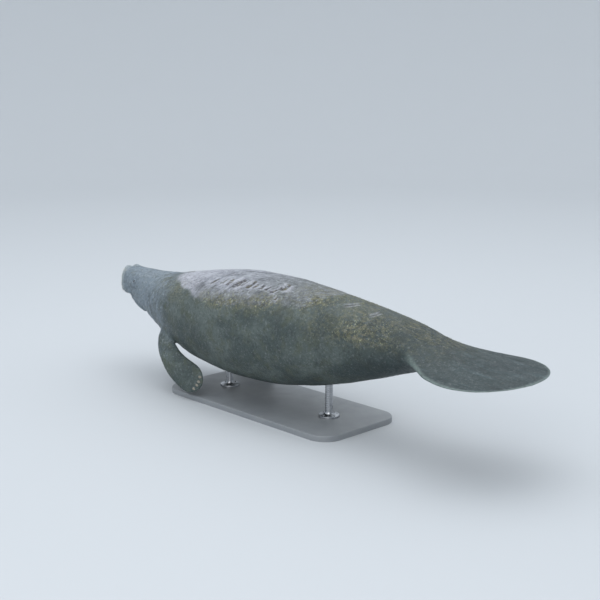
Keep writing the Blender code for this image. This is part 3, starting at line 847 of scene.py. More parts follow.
@dataclass(frozen=True)
class Hide:
    """The one skin over head, jaw, neck, trunk, tail and flippers, with its folds and scars."""

    trunk: Trunk
    jaw: Jaw
    flippers: tuple[Flipper, ...]
    eyes: tuple[Eye, ...]
    nostrils: tuple[Nostril, ...]
    nodes: tuple[str, ...] = (
        "head", "lower_jaw", "neck", "chest", "belly", "tail_stock", "tail_paddle", "flipper_left",
        "flipper_right",
    )
    sides: int = 128
    stretch_ends: Triple = (0.27, 0.60, 2.40)
    steps: tuple[float, ...] = (0.0056, 0.0085, 0.0105, 0.0095)
    front_rings: int = 15
    tip_rings: int = 16
    fine_back: tuple[float, float] = (0.70, 1.86)
    fine_back_reach: float = 52.0
    opening_reaches: tuple[float, ...] = (0.036, 0.021)
    armpits: Softening = Softening(0.050, 0.6, 45)
    throat: Softening = Softening(0.030, 0.6, 40)
    lips: Softening = Softening(0.004, 0.3, 3)
    mouth_corner: float = 0.128
    face: tuple[Swelling, ...] = (
        Swelling("lip lobe", (0.012, 0.048, -0.044), (0.040, 0.026, 0.038), 0.011),
        Swelling("cleft", (0.010, 0.000, -0.048), (0.040, 0.0075, 0.046), -0.014),
        Swelling("notch below the cleft", (0.030, 0.000, -0.088), (0.045, 0.014, 0.026), -0.013),
        Swelling("hollow of the disk", (0.006, 0.000, 0.016), (0.030, 0.036, 0.013), -0.005),
        Swelling("lobe shoulder", (0.030, 0.086, -0.010), (0.022, 0.016, 0.034), 0.003),
        Swelling("between the nostrils", (0.020, 0.000, 0.083), (0.030, 0.012, 0.012), -0.003),
        Swelling("fold under the eye", (0.205, 0.130, -0.018), (0.035, 0.030, 0.005), -0.0022),
        Swelling("fold at the mouth corner", (0.128, 0.100, -0.082), (0.008, 0.030, 0.026), -0.0035),
    )
    disk_folds: tuple[tuple[float, float], ...] = ((0.056, 0.0018), (0.044, 0.0022), (0.030, 0.0016))
    fold_nets: tuple[FoldNet, ...] = (
        FoldNet(11, (62.0, 34.0, 34.0), 7.0, 0.0011, 0.45, neck=0.4, root=0.5),
        FoldNet(12, (26.0, 9.0, 9.0), 5.0, 0.0022, 0.30, neck=0.9, root=0.6),
        FoldNet(14, (95.0, 60.0, 60.0), 7.0, 0.0010, 0.0, head=1.0),
    )
    bristle_top: float = 0.074
    girth_radius: float = 0.30
    waterline: tuple[tuple[float, float], ...] = (
        (0.52, 0.125), (0.64, 0.112), (0.745, 0.099), (0.84, 0.086), (0.96, 0.066), (1.10, 0.059),
        (1.30, 0.072), (1.50, 0.095), (1.72, 0.112), (1.80, 0.150), (1.90, 0.200),
    )
    scars: tuple[Scar, ...] = (
        Scar((1.015, 53.5), (1.054, 63.5), 0.010, 0.0026),
        Scar((1.152, 54.0), (1.166, 66.0), 0.011, 0.0042),
        Scar((1.200, 55.0), (1.246, 67.5), 0.017, 0.0070),
        Scar((1.302, 57.0), (1.324, 69.0), 0.015, 0.0060),
        Scar((1.391, 58.5), (1.405, 66.5), 0.011, 0.0040),
        Scar((1.478, 57.0), (1.515, 63.5), 0.007, 0.0028),
        Scar((1.521, 64.5), (1.535, 78.0), 0.016, 0.0030),
        Scar((1.540, 48.5), (1.552, 53.0), 0.006, 0.0026),
        Scar((1.098, 55.5), (1.124, 62.5), 0.007, 0.0024),
        Scar((1.258, 57.5), (1.280, 65.5), 0.007, 0.0026),
        Scar((1.344, 58.5), (1.366, 65.0), 0.008, 0.0028),
        Scar((1.432, 58.0), (1.458, 66.0), 0.007, 0.0024),
        Scar((0.734, 55.0), (0.776, 65.5), 0.004, 0.0016),
        Scar((0.787, 49.0), (0.870, 59.5), 0.004, 0.0018),
        Scar((0.872, 45.0), (0.926, 54.5), 0.004, 0.0016),
        Scar((1.935, 70.0), (1.985, 84.0), 0.006, 0.0020),
        Scar((2.110, 66.0), (2.130, 80.0), 0.005, 0.0018),
    )

    def _rings(self) -> Points:
        """Where the skin's rings are, close together on the head and at both ends."""
        blunt, depth = self.trunk.muzzle_bluntness, self.trunk.muzzle_depth
        shares = np.linspace(0.05, 0.985, self.front_rings)
        front = depth * (1 - (1 - shares**blunt) ** (1 / blunt))
        blade_end = self.trunk.blade_round_from * self.trunk.length
        ends = (depth, *self.stretch_ends, blade_end)
        parts = [
            np.linspace(a, b, round((b - a) / step), endpoint=False)
            for a, b, step in zip(ends, ends[1:], self.steps)
        ]
        turn = np.linspace(0, math.pi / 2, self.tip_rings + 1)[:-1]
        return np.concatenate([front, *parts, blade_end + (self.trunk.length - blade_end) * np.sin(turn)])

    def _lattice(self) -> bmesh.types.BMesh:
        """The skin's net as a unit tube, finer on the head, on the back and by the openings."""
        rows = [[(x, math.cos(a), math.sin(a)) for a in around(self.sides)] for x in self._rings()]
        bm = tube(rows, ((0, 0, 0), (self.trunk.length, 0, 0)))
        self._refine(bm, self._is_fine)
        for reach in self.opening_reaches:
            self._refine(bm, lambda middle: self._is_by_opening(middle, reach))
        bmesh.ops.triangulate(bm, faces=bm.faces)
        return bm

    @staticmethod
    def _refine(bm: bmesh.types.BMesh, wanted: Callable[[Vector], bool]) -> None:
        """Splits the four-sided faces whose middles are wanted."""
        faces = [face for face in bm.faces if len(face.verts) == 4 and wanted(face.calc_center_median())]
        edges = list(dict.fromkeys(edge for face in faces for edge in face.edges))
        bmesh.ops.subdivide_edges(bm, edges=edges, cuts=1, use_grid_fill=True)

    def _is_fine(self, middle: Vector) -> bool:
        """Whether a place in the net is on the head or on the back that stands out of the water."""
        from_top = abs(math.degrees(math.atan2(middle.y, middle.z)))
        on_back = self.fine_back[0] < middle.x < self.fine_back[1] and from_top < self.fine_back_reach
        return middle.x < self.stretch_ends[0] or on_back

    def _is_by_opening(self, middle: Vector, reach: float) -> bool:
        """Whether a place in the net is within reach of an eye or a nostril."""
        angle = math.atan2(middle.z, abs(middle.y))
        for opening in (self.eyes[0], self.nostrils[0]):
            away = middle.x - opening.along
            if abs(away) < reach:
                half_width = float(self.trunk.sizes(opening.along)[0])
                if math.hypot(away, (angle - math.radians(opening.degrees)) * half_width) < reach:
                    return True
        return False

    def _trunk_surface(self) -> bpy.types.Object:
        """The trunk with its folds, as a closed surface."""
        bm = self._lattice()
        net = np.array([vert.co for vert in bm.verts])
        along = np.clip(net[:, 0], 5e-4, self.trunk.length)
        points = self.trunk.skin(along, np.arctan2(net[:, 2], net[:, 1]))
        for k in np.nonzero(np.hypot(net[:, 1], net[:, 2]) < 1e-6)[0]:
            points[k] = self.trunk.skin(along[k], around(self.sides)).mean(axis=0)
        for vert, point in zip(bm.verts, points):
            vert.co = point
        return from_bmesh(bm, "skin", Flesh.TRUNK)

    @staticmethod
    def _seams(mesh: bpy.types.Mesh) -> tuple[Points, Points]:
        """The points where the jaw meets the trunk, and where the flippers do."""
        totals = column(mesh.polygons, "loop_total", kind=int)
        marks = np.repeat(column(mesh.polygons, "material_index", kind=int), totals)
        corners = column(mesh.loops, "vertex_index", kind=int)
        touched = {mark: np.zeros(len(mesh.vertices), bool) for mark in Flesh}
        for mark in Flesh:
            touched[mark][corners[marks == mark.value]] = True
        return touched[Flesh.TRUNK] & touched[Flesh.JAW], touched[Flesh.TRUNK] & touched[Flesh.FLIPPER]

    def _settle(self, mesh: bpy.types.Mesh) -> None:
        """Softens the throat, the lips and the flippers' roots, so that they grow out of the trunk."""
        points, _ = surface(mesh)
        edges = column(mesh.edges, "vertices", 2, int)
        jaw_seam, flipper_seam = self._seams(mesh)
        behind_corner = ramp(self.trunk.to_own(points)[:, 0], self.mouth_corner - 0.01, 0.035)
        points = self.armpits.on(points, edges, points[flipper_seam])
        seam = points[jaw_seam]
        behind = seam[self.trunk.to_own(seam)[:, 0] > self.mouth_corner]
        points = self.throat.on(points, edges, behind, behind_corner)
        set_points(mesh, self.lips.on(points, edges, seam))

    def _scarred(self, points: Points) -> tuple[Points, Points, Points]:
        """Lays the scars on the skin.

        Args:
            points: The skin's points.

        Returns:
            How far each point sinks, and how strongly it is scar and pale rim.
        """
        sink, inside, rim = (np.zeros(len(points)) for _ in range(3))
        wobble = LatticeNoise(31).layered(points * 85, 3)
        islands = np.clip(0.90 + 0.75 * LatticeNoise(33).layered(points * 60, 3), 0, 1.2)
        for scar in self.scars:
            start, _ = self.trunk.place(*scar.start, Side.LEFT)
            end, out = self.trunk.place(*scar.end, Side.LEFT)
            length = (end - start).length
            ahead = np.array(end - start) / length
            offset = points - np.array(start)
            share = offset @ ahead / length
            bend = 0.7 * np.sin(share * math.pi * 1.3) + 1.1 * wobble
            off_line = offset @ np.cross(np.array(out), ahead) + bend * scar.width
            near = bell(np.linalg.norm(offset - ahead * length / 2, axis=1), length * 0.9)
            ends = smooth(share / 0.22 + 0.5) * smooth((1 - share) / 0.22 + 0.5) * (near > 0.02)
            core = ends * bell(off_line, scar.width) * islands
            edge = ends * bell(np.abs(off_line) - scar.width * 1.9, scar.width * 0.9)
            sink += scar.depth * (core - 0.30 * edge)
            strength = min(scar.depth / 0.0032, 1.0)
            inside = np.maximum(inside, core * strength)
            rim = np.maximum(rim, edge * (0.5 + 0.5 * strength))
        return sink, inside, rim

    def _masks(self, points: Points) -> dict[str, Points]:
        """Says what grows or dries where, where the nostrils' painted shade lies and where the tail's
        painted highlight runs.

        Args:
            points: The skin's points.

        Returns:
            For each mask, a value from 0 to 1 at each point.
        """
        along, side, level = self.trunk.to_own(points).T
        over = level - through(*zip(*self.waterline), along)
        ragged = 0.017 * LatticeNoise(5).layered(points * 13, 4)
        dry = smooth((over + ragged) / 0.022 + 0.6)
        dry *= smooth((along - 0.50) / 0.12 + ragged * 9) * smooth((1.93 - along) / 0.10 + ragged * 24)
        patches = LatticeNoise(8).layered(points * (7.0, 9.0, 9.0), 3)
        band = bell(over - 0.015, 0.045) * ramp(along, 0.95, 0.12) * ramp(along, 1.95, -0.2)
        saddle = ramp(along, 1.72, 0.2) * ramp(along, 2.78, -0.4) * ramp(level, -0.06, 0.10)
        collar = bell(along - 0.66, 0.16) * bell(level - 0.060, 0.060)
        crown = ramp(along, 1.50, 0.22) * ramp(along, 2.05, -0.20) * ramp(level, 0.08, 0.06)
        grown = (band + 0.66 * saddle + 0.85 * collar + 0.42 * crown) * (0.62 + 0.85 * patches)
        pad = ramp(along, 0.072, -0.04)
        tip = ramp(along, self.trunk.length, -0.10) ** 0.5
        inland = (self.trunk.sizes(along)[0] - np.abs(side)) * tip
        low = ramp(over, 0.090, -0.085) * ramp(along, 0.85, 0.30)
        # The nostrils' lining, where painted shade is laid, darkest deepest in.
        cavity = np.maximum(*(nostril.lining(points) for nostril in self.nostrils))
        chin = 0.6 * bell(along - 0.075, 0.035) * ramp(level, -0.085, -0.02)
        return {
            "dry": dry,
            "damp": np.maximum(low, 0.85 * ramp(along, 1.10, 0.50)),
            "algae": np.clip(grown, 0, 1),
            "pad": pad,
            # The tail's edge, where a painted highlight is laid.
            "rim": ramp(inland, 0.024, -0.024) * ramp(along, 2.38, 0.10),
            "hair": (0.35 + 0.65 * ramp(level, -0.25, 0.3)) * ramp(along, 0.10, 0.05),
            "cavity": cavity,
            "bristle": np.maximum(pad, chin) * (1 - cavity) * (level < self.bristle_top),
        }

    def _around(self, own: Points) -> Points:
        """Metres round the girth from the line of the back, rising from the left side to the right."""
        middle = self.trunk.sizes(own[:, 0])[1]
        return self.girth_radius * np.arctan2(own[:, 1], own[:, 2] - middle)

    def _crinkle(self, points: Points) -> Points:
        """The small folds of the hide, in metres out of the surface."""
        own = self.trunk.to_own(points)
        along = own[:, 0]
        head, neck = ramp(along, 0.34, -0.10), bell(along - 0.46, 0.16)
        root = 0.8 * bell(along - 2.38, 0.10)
        lift = 0.0022 * LatticeNoise(13).layered(points * (7.0, 5.0, 5.0), 3) * (1 - 0.5 * head)
        for net in self.fold_nets:
            share = net.everywhere + net.head * head + net.neck * neck + net.root * root
            lift -= net.depth * share * LatticeNoise(net.seed).furrows(points * net.stretch, net.sharpness)
        lift += 0.0005 * LatticeNoise(15).layered(points * 55.0, 2)
        lift += self._dome_streaks(own) + self._tail_folds(own)
        inland = ramp(self.trunk.sizes(along)[0] - np.abs(own[:, 1]), 0.0, 0.035)
        inland *= ramp(along, self.trunk.length, -0.06)
        return lift * np.where(along > 2.45, 0.25 + 0.75 * inland, 1.0) + self._muzzle_folds(own)

    def _dome_streaks(self, own: Points) -> Points:
        """Fine ridges across the back, slanted as the scars are."""
        along, around_girth = own[:, 0], self._around(own)
        cosine, sine = math.cos(STREAK_ANGLE), math.sin(STREAK_ANGLE)
        ahead, across = along * cosine + around_girth * sine, along * sine - around_girth * cosine
        ridges = LatticeNoise(24).layered(np.stack([ahead * 13, across * 62, along * 2], axis=1), 3)
        back = ramp(along, 0.55, 0.15) * ramp(along, 2.1, -0.4) * ramp(own[:, 2], 0.02, 0.08)
        return 0.0024 * back * ridges

    def _muzzle_folds(self, own: Points) -> Points:
        """The folds of the blunt front: over the lip lobes, and fanning out from the cleft."""
        along, side, level = own[:, 0], np.abs(own[:, 1]), own[:, 2]
        wander = LatticeNoise(17).at(own * 45.0)
        spokes = np.cos(np.arctan2(side, level + 0.100) * 21.0 + 2.2 * wander)
        lift = -0.0019 * np.clip(spokes, 0, 1) ** 2 * ramp(level, 0.022, -0.03) * smooth(side / 0.014)
        for top, depth in self.disk_folds:
            sag = level - (top - 1.6 * side**2) + 0.003 * wander
            lift -= depth * bell(sag, 0.0038) * ramp(side, 0.078, -0.03) * ramp(side, 0.003, 0.015)
        lift -= 0.0010 * np.clip(LatticeNoise(18).layered(own * 130.0, 2), 0, 1)
        lift -= 0.0016 * LatticeNoise(19).furrows(own * (60.0, 78.0, 50.0), 5.5)
        return ramp(along, 0.062, -0.022) * lift + lumps(self.face, own)

    @staticmethod
    def _tail_folds(own: Points) -> Points:
        """Shallow ripples that fan out over the blade of the tail, and folds across it."""
        along, side, level = own.T
        spread = side / (0.30 + 0.9 * np.clip(along - 2.2, 0, 1))
        fan = np.stack([along * 1.6, spread * 30.0, np.zeros(len(own))], axis=1)
        across = np.stack([along * 28.0, side * 5.0, level * 5.0], axis=1)
        lift = 0.0020 * LatticeNoise(21).layered(fan, 3) - 0.0010 * LatticeNoise(22).furrows(across, 5.0)
        return ramp(along, 2.42, 0.16) * lift

    def _weather(self, skin: bpy.types.Object) -> None:
        """Adds the small folds and the scars, and stores the masks."""
        points, normals = surface(skin.data)
        sink, scar, scar_rim = self._scarred(points)
        crinkle = self._crinkle(points)
        lift = crinkle - sink
        for opening in (*self.eyes, *self.nostrils):
            away = np.linalg.norm(points - np.array(opening.frame()[0]), axis=1)
            lift *= ramp(away, opening.spared, 0.008)
        set_points(skin.data, points + normals * lift[:, None])
        masks = self._masks(points)
        # The hollow mask says how deep the small folds sink, for the painted shade in them.
        masks |= {"scar": scar, "scar_rim": scar_rim, "hollow": np.clip(-crinkle / 0.003, 0, 1)}
        masks["around"] = self._around(self.trunk.to_own(points))
        for name, values in masks.items():
            layer = skin.data.attributes.new(name, "FLOAT", "POINT")
            layer.data.foreach_set("value", values.astype(np.float32))

    def build(self) -> bpy.types.Object:
        """Builds the finished skin.

        Returns:
            One closed mesh, with a mask attribute for each kind of marking.
        """
        skin = self._trunk_surface()
        limbs = [("jaw", self.jaw, Flesh.JAW)] + [("flipper", f, Flesh.FLIPPER) for f in self.flippers]
        combine(skin, "UNION", [from_bmesh(tube(*limb.rings()), name, mark) for name, limb, mark in limbs])
        self._settle(skin.data)
        points, normals = surface(skin.data)
        features = (*self.eyes, *self.nostrils)
        lift = sum(feature.relief(points) for feature in features)
        set_points(skin.data, points + normals * lift[:, None])
        ears = [Opening(self.trunk, side) for side in Side]
        combine(skin, "DIFFERENCE", [opening.cutter() for opening in (*features, *ears)])
        self._weather(skin)
        skin.data.materials.clear()
        return shaded(skin)


@dataclass(frozen=True)
class Signal:
    """A value, vector or colour on its way through a node tree, which sums can be written with."""

    nodes: Nodes
    socket: bpy.types.NodeSocket

    def __add__(self, other: object) -> Signal:
        """The sum."""
        return self.nodes.maths("ADD", self, other)

    def __sub__(self, other: object) -> Signal:
        """The difference."""
        return self.nodes.maths("SUBTRACT", self, other)

    def __mul__(self, other: object) -> Signal:
        """The product."""
        return self.nodes.maths("MULTIPLY", self, other)

    def __truediv__(self, other: object) -> Signal:
        """The quotient."""
        return self.nodes.maths("DIVIDE", self, other)

    def span(self, low: float, high: float, to_low: float = 0.0, to_high: float = 1.0) -> Signal:
        """Maps a stretch of values to another, smoothly and held at both ends."""
        inputs = {"Value": self, "From Min": low, "From Max": high, "To Min": to_low, "To Max": to_high}
        return self.nodes.get("ShaderNodeMapRange", inputs, "Result", interpolation_type="SMOOTHSTEP")

    def painted(self, mask: object, colour: object) -> Signal:
        """This colour with another laid over it where a mask allows."""
        return self.nodes.mix(mask, self, colour)

    def stretched(self, *scale: float) -> Signal:
        """This vector scaled along each axis."""
        return self.nodes.vector("MULTIPLY", self, scale)

    def parts(self) -> list[Signal]:
        """This vector's three numbers."""
        return list(self.nodes.outputs("ShaderNodeSeparateXYZ", {0: self}).values())


@dataclass(frozen=True)
class Nodes:
    """A node tree that is filled from code, with sockets given by name."""

    tree: bpy.types.NodeTree

    def add(self, kind: str, inputs: dict[str | int, object], **settings: object) -> bpy.types.Node:
        """Adds a node.

        Args:
            kind: The node's type.
            inputs: For each input's name or number, a signal to link or a value to set.
            settings: The node's own properties.

        Returns:
            The new node.
        """
        node = self.tree.nodes.new(kind)
        for name, value in settings.items():
            setattr(node, name, value)
        for name, value in inputs.items():
            self.feed(node.inputs[name], value)
        return node

    def feed(self, socket: bpy.types.NodeSocket, value: object) -> None:
        """Links a signal to a socket, or sets the socket's value."""
        if isinstance(value, Signal):
            self.tree.links.new(value.socket, socket)
        else:
            socket.default_value = value

    def read(self, node: bpy.types.Node) -> dict[str, Signal]:
        """A node's outputs by name."""
        return {socket.name: Signal(self, socket) for socket in node.outputs}

    def outputs(self, kind: str, inputs: dict[str | int, object], **settings: object) -> dict[str, Signal]:
        """Adds a node and gives its outputs by name."""
        return self.read(self.add(kind, inputs, **settings))

    def get(
        self, kind: str, inputs: dict[str | int, object], output: str | int = 0, **settings: object
    ) -> Signal:
        """Adds a node and gives one of its outputs."""
        return Signal(self, self.add(kind, inputs, **settings).outputs[output])

    def maths(self, operation: str, first: object, second: object, clamp: bool = False) -> Signal:
        """One sum of two numbers or signals."""
        return self.get("ShaderNodeMath", {0: first, 1: second}, operation=operation, use_clamp=clamp)

    def vector(self, operation: str, first: object, second: object, output: str | int = 0) -> Signal:
        """One sum of two vectors."""
        return self.get("ShaderNodeVectorMath", {0: first, 1: second}, output, operation=operation)

    def combine(self, x: object, y: object = 0.0, z: object = 0.0) -> Signal:
        """A vector of three numbers or signals."""
        return self.get("ShaderNodeCombineXYZ", {0: x, 1: y, 2: z})

    def mix(self, mask: object, first: object, second: object) -> Signal:
        """Goes from one colour to another as a mask rises."""
        return self.get("ShaderNodeMix", {0: mask, 6: first, 7: second}, 2, data_type="RGBA")

    def noise(self, vector: Signal, scale: float, detail: float = 3.0, roughness: float = 0.55) -> Signal:
        """Noise from about 0 to 1."""
        inputs = {"Vector": vector, "Scale": scale, "Detail": detail, "Roughness": roughness}
        return self.get("ShaderNodeTexNoise", inputs, "Fac")

    def attribute(self, name: str) -> Signal:
        """A mask stored on the mesh."""
        return self.get("ShaderNodeAttribute", {}, "Fac", attribute_name=name, attribute_type="GEOMETRY")

    def bump(self, height: Signal, strength: float, distance: float, **under: Signal) -> Signal:
        """Turns a height into a normal, on top of another Normal where one is given."""
        inputs = {"Height": height, "Strength": strength, "Distance": distance, **under}
        return self.get("ShaderNodeBump", inputs)

    def effect(self, tree: bpy.types.NodeTree, vector: Signal, scale: float, **values: float) -> Signal:
        """Places a shared effect with its own values."""
        return self.get("ShaderNodeGroup", {"Vector": vector, "Scale": scale, **values}, node_tree=tree)


def new_group(
    name: str,
    kind: str,
    inputs: dict[str, str],
    output: str,
    fill: Callable[[Nodes, dict[str, Signal]], Signal],
) -> bpy.types.NodeTree:
    """Makes a node group for shaders or geometry.

    Args:
        name: The group's name.
        kind: The kind of node tree.
        inputs: For each input's name, its socket type.
        output: The output's socket type.
        fill: Fills the group from its inputs and gives the signal to put out.

    Returns:
        The node group.
    """
    tree = bpy.data.node_groups.new(name, kind)
    for label, socket_type in inputs.items():
        tree.interface.new_socket(label, in_out="INPUT", socket_type=socket_type)
    tree.interface.new_socket("Result", in_out="OUTPUT", socket_type=output)
    nodes = Nodes(tree)
    nodes.add("NodeGroupOutput", {0: fill(nodes, nodes.outputs("NodeGroupInput", {}))})
    return tree


def bent_cells(
    nodes: Nodes, given: dict[str, Signal], bend: float, detail: float, feature: str
) -> dict[str, Signal]:
    """Cells at the group's scale, with borders that noise has bent."""
    inputs = {"Vector": given["Vector"], "Scale": given["Scale"]}
    drift = nodes.get("ShaderNodeTexNoise", inputs | {"Detail": detail}, "Color")
    inputs["Vector"] = nodes.vector("ADD", drift.stretched(bend, bend, bend), given["Vector"])
    return nodes.outputs("ShaderNodeTexVoronoi", inputs, feature=feature)


@cache
def specks() -> bpy.types.NodeTree:
    """The shared effect of ragged flecks of uneven size, in about the given share of the cells."""

    def fill(nodes: Nodes, given: dict[str, Signal]) -> Signal:
        """A fleck's own size less the distance from its middle, where the cell is chosen."""
        cells = bent_cells(nodes, given, 0.006, 3.0, "F1")
        chance, size, _ = nodes.outputs("ShaderNodeSeparateColor", {0: cells["Color"]}).values()
        chosen = nodes.maths("LESS_THAN", chance, given["Share"])
        return chosen * (size * 0.5 - cells["Distance"]).span(-0.04, 0.10)

    inputs = {"Vector": VECTOR, "Scale": FLOAT, "Share": FLOAT}
    return new_group("specks", "ShaderNodeTree", inputs, FLOAT, fill)


@cache
def furrows() -> bpy.types.NodeTree:
    """The shared effect of a net of furrows: 1 on the pads of hide and 0 in the furrows."""

    def fill(nodes: Nodes, given: dict[str, Signal]) -> Signal:
        """The rise from a furrow to the pad beside it, over the given width."""
        distance = bent_cells(nodes, given, 0.012, 2.0, "DISTANCE_TO_EDGE")["Distance"]
        return nodes.maths("POWER", nodes.maths("DIVIDE", distance, given["Width"], clamp=True), 0.6)

    inputs = {"Vector": VECTOR, "Scale": FLOAT, "Width": FLOAT}
    return new_group("hide furrows", "ShaderNodeTree", inputs, FLOAT, fill)


@cache
def unevenness() -> bpy.types.NodeTree:
    """The shared effect of a value that drifts between two limits."""

    def fill(nodes: Nodes, given: dict[str, Signal]) -> Signal:
        """Noise, stretched to the limits."""
        drift = {"Vector": given["Vector"], "Scale": given["Scale"], "Detail": 4.0}
        value = nodes.get("ShaderNodeTexNoise", drift, "Fac")
        limits = {"From Min": 0.3, "From Max": 0.7, "To Min": given["Low"], "To Max": given["High"]}
        return nodes.get("ShaderNodeMapRange", {"Value": value, **limits}, "Result")

    inputs = {"Vector": VECTOR, "Scale": FLOAT, "Low": FLOAT, "High": FLOAT}
    return new_group("unevenness", "ShaderNodeTree", inputs, FLOAT, fill)


@dataclass(frozen=True)
class Finish:
    """A material, made from what its look gives the shader's inputs."""

    def make(self, name: str) -> bpy.types.Material:
        """Builds the material under a name."""
        material = bpy.data.materials.new(name)
        material.use_nodes = True
        nodes = Nodes(material.node_tree)
        here = nodes.get("ShaderNodeTexCoord", {}, "Object")
        for label, value in self.look(nodes, here).items():
            nodes.feed(material.node_tree.nodes["Principled BSDF"].inputs[label], value)
        return material

    def look(self, nodes: Nodes, here: Signal) -> dict[str, object]:
        """What each of the shader's inputs is given, from the material's nodes and coordinates."""
        raise NotImplementedError


@dataclass(frozen=True)
class HideFinish(Finish):
    """Leathery grey hide: paler and violet where it dries, greener and darker under water, with painted
    shade that darkens the rear towards the tail as under deep water, painted ripple light and a painted
    highlight on the tail, and painted shade in the sunken folds and inside the nostrils.
    """

    streak_scale: Triple = (18.0, 75.0, 4.0)
    dry_dirt: Colour = srgb(92, 92, 98)
    deep: Colour = srgb(66, 77, 76)
    flank: Colour = srgb(92, 102, 99)
    green: Colour = srgb(78, 85, 72)
    dry: Colour = srgb(158, 161, 169)
    dry_shade: Colour = srgb(122, 125, 134)
    damp: Colour = srgb(88, 94, 92)
    head: Colour = srgb(122, 134, 144)
    pad: Colour = srgb(158, 167, 170)
    # The tail's own green-grey, made darker as painted shade of deep water.
    tail: Colour = srgb(39, 53, 55)
    # Painted highlight along the tail's edge.
    tail_rim: Colour = srgb(124, 138, 134)
    # Painted ripple light: paler streaks along the tail's blade.
    tail_streak: Colour = srgb(78, 94, 98)
    algae: Colour = srgb(112, 110, 84)
    algae_dark: Colour = srgb(58, 58, 46)
    algae_bright: Colour = srgb(170, 172, 136)
    algae_tan: Colour = srgb(118, 114, 95)
    scar: Colour = srgb(58, 52, 58)
    scar_growth: Colour = srgb(92, 84, 58)
    scar_rim: Colour = srgb(196, 196, 206)
    fleck: Colour = srgb(190, 196, 198)
    # Dark for pits and mottles, for darker lines along the furrows, and for the painted shade in the sunken
    # folds.
    pit: Colour = srgb(48, 54, 54)
    # Painted shade inside the nostrils.
    cavity: Colour = srgb(34, 30, 31)

    def look(self, nodes: Nodes, here: Signal) -> dict[str, object]:
        """The hide's colour, relief and roughness, which is higher where it is dry."""
        colour = self._marks(nodes, here, self._growth(nodes, here, self._regions(nodes, here)))
        rough = nodes.effect(unevenness(), here, 22.0, Low=0.42, High=0.62)
        rough += nodes.attribute("dry") * 0.10
        relief = self._relief(nodes, here)
        return {"Base Color": colour, "Roughness": rough, "Normal": relief, "Specular IOR Level": 0.32}

    def _regions(self, nodes: Nodes, here: Signal) -> Signal:
        """The broad colours from snout to tail, with painted shade that darkens the rear towards the tail,
        painted ripple light on the blade and a painted highlight along its edge.
        """
        x = here.parts()[0]
        cloud = nodes.noise(here.stretched(1.0, 1.6, 1.6), 4.2, 5.0, 0.62)
        patch = nodes.noise(here, 15.0, 6.0, 0.66)
        base = nodes.mix(cloud.span(0.38, 0.62), self.deep, self.flank)
        base = base.painted(patch.span(0.46, 0.66, 0.0, 0.75), self.green)
        face = nodes.mix(patch.span(0.40, 0.70, 0.0, 0.35), self.head, self.flank)
        base = base.painted((x + (patch - 0.5) * 0.7).span(-0.70, -1.10), face)
        base = base.painted(nodes.attribute("pad") * 0.85, self.pad)
        tail = nodes.mix(cloud.span(0.35, 0.65, 0.0, 0.4), self.tail, self.deep)
        # Painted ripple light: paler streaks lengthwise over the blade.
        ripple_light = nodes.noise(here.stretched(3.0, 22.0, 22.0), 1.0, 4.0, 0.66)
        tail = tail.painted(ripple_light.span(0.50, 0.70, 0.0, 0.6) * x.span(0.85, 1.10), self.tail_streak)
        # Painted shade: the rear turns darker from mid-back to the tail, as under deep water.
        base = base.painted(x.span(0.25, 0.95), tail)
        # Painted highlight along the tail's edge.
        base = base.painted(nodes.attribute("rim") * 0.7, self.tail_rim)
        dry = nodes.mix(patch.span(0.34, 0.62), self.dry_shade, self.dry)
        streak = nodes.noise(self._lie(nodes, x), 1.0, 5.0, 0.72)
        dry = dry.painted(streak.span(0.52, 0.66, 0.0, 0.75), self.scar_rim)
        dry = dry.painted(streak.span(0.48, 0.36, 0.0, 0.8), self.dry_dirt)
        dry = dry.painted(x.span(-0.40, -0.75, 0.0, 0.55), self.scar_rim)
        dry = dry.painted(nodes.attribute("damp") * 0.7, self.damp)
        return base.painted(nodes.attribute("dry"), dry)

    def _lie(self, nodes: Nodes, x: Signal) -> Signal:
        """Coordinates that run up the side on the slant of the scars."""
        girth = nodes.attribute("around")
        cosine, sine = math.cos(STREAK_ANGLE), math.sin(STREAK_ANGLE)
        lie = nodes.combine(x * cosine + girth * sine, x * sine - girth * cosine, x)
        return lie.stretched(*self.streak_scale)

    def _growth(self, nodes: Nodes, here: Signal, base: Signal) -> Signal:
        """Lays algae over a colour, in stains, smears and specks."""
        mask = nodes.attribute("algae")
        tone = nodes.mix(nodes.noise(here, 44.0, 4.0).span(0.42, 0.58), self.algae_dark, self.algae)
        base = base.painted(mask * nodes.noise(here, 22.0, 6.0, 0.72).span(0.40, 0.56) * 0.85, tone)
        smear = nodes.noise(here.stretched(14.0, 42.0, 42.0), 1.0, 5.0, 0.7)
        behind = mask * here.parts()[0].span(0.35, 0.62)
        base = base.painted(smear.span(0.50, 0.60) * behind, self.algae_tan)
        base = base.painted(smear.span(0.47, 0.38) * behind, self.algae_dark)
        crumbs = mask * nodes.noise(here, 260.0, 3.0, 0.7).span(0.40, 0.56)
        for scale, share in ((96.0, 0.36), (170.0, 0.45)):
            base = base.painted(nodes.effect(specks(), here, scale, Share=share) * crumbs, self.algae_bright)
        return base

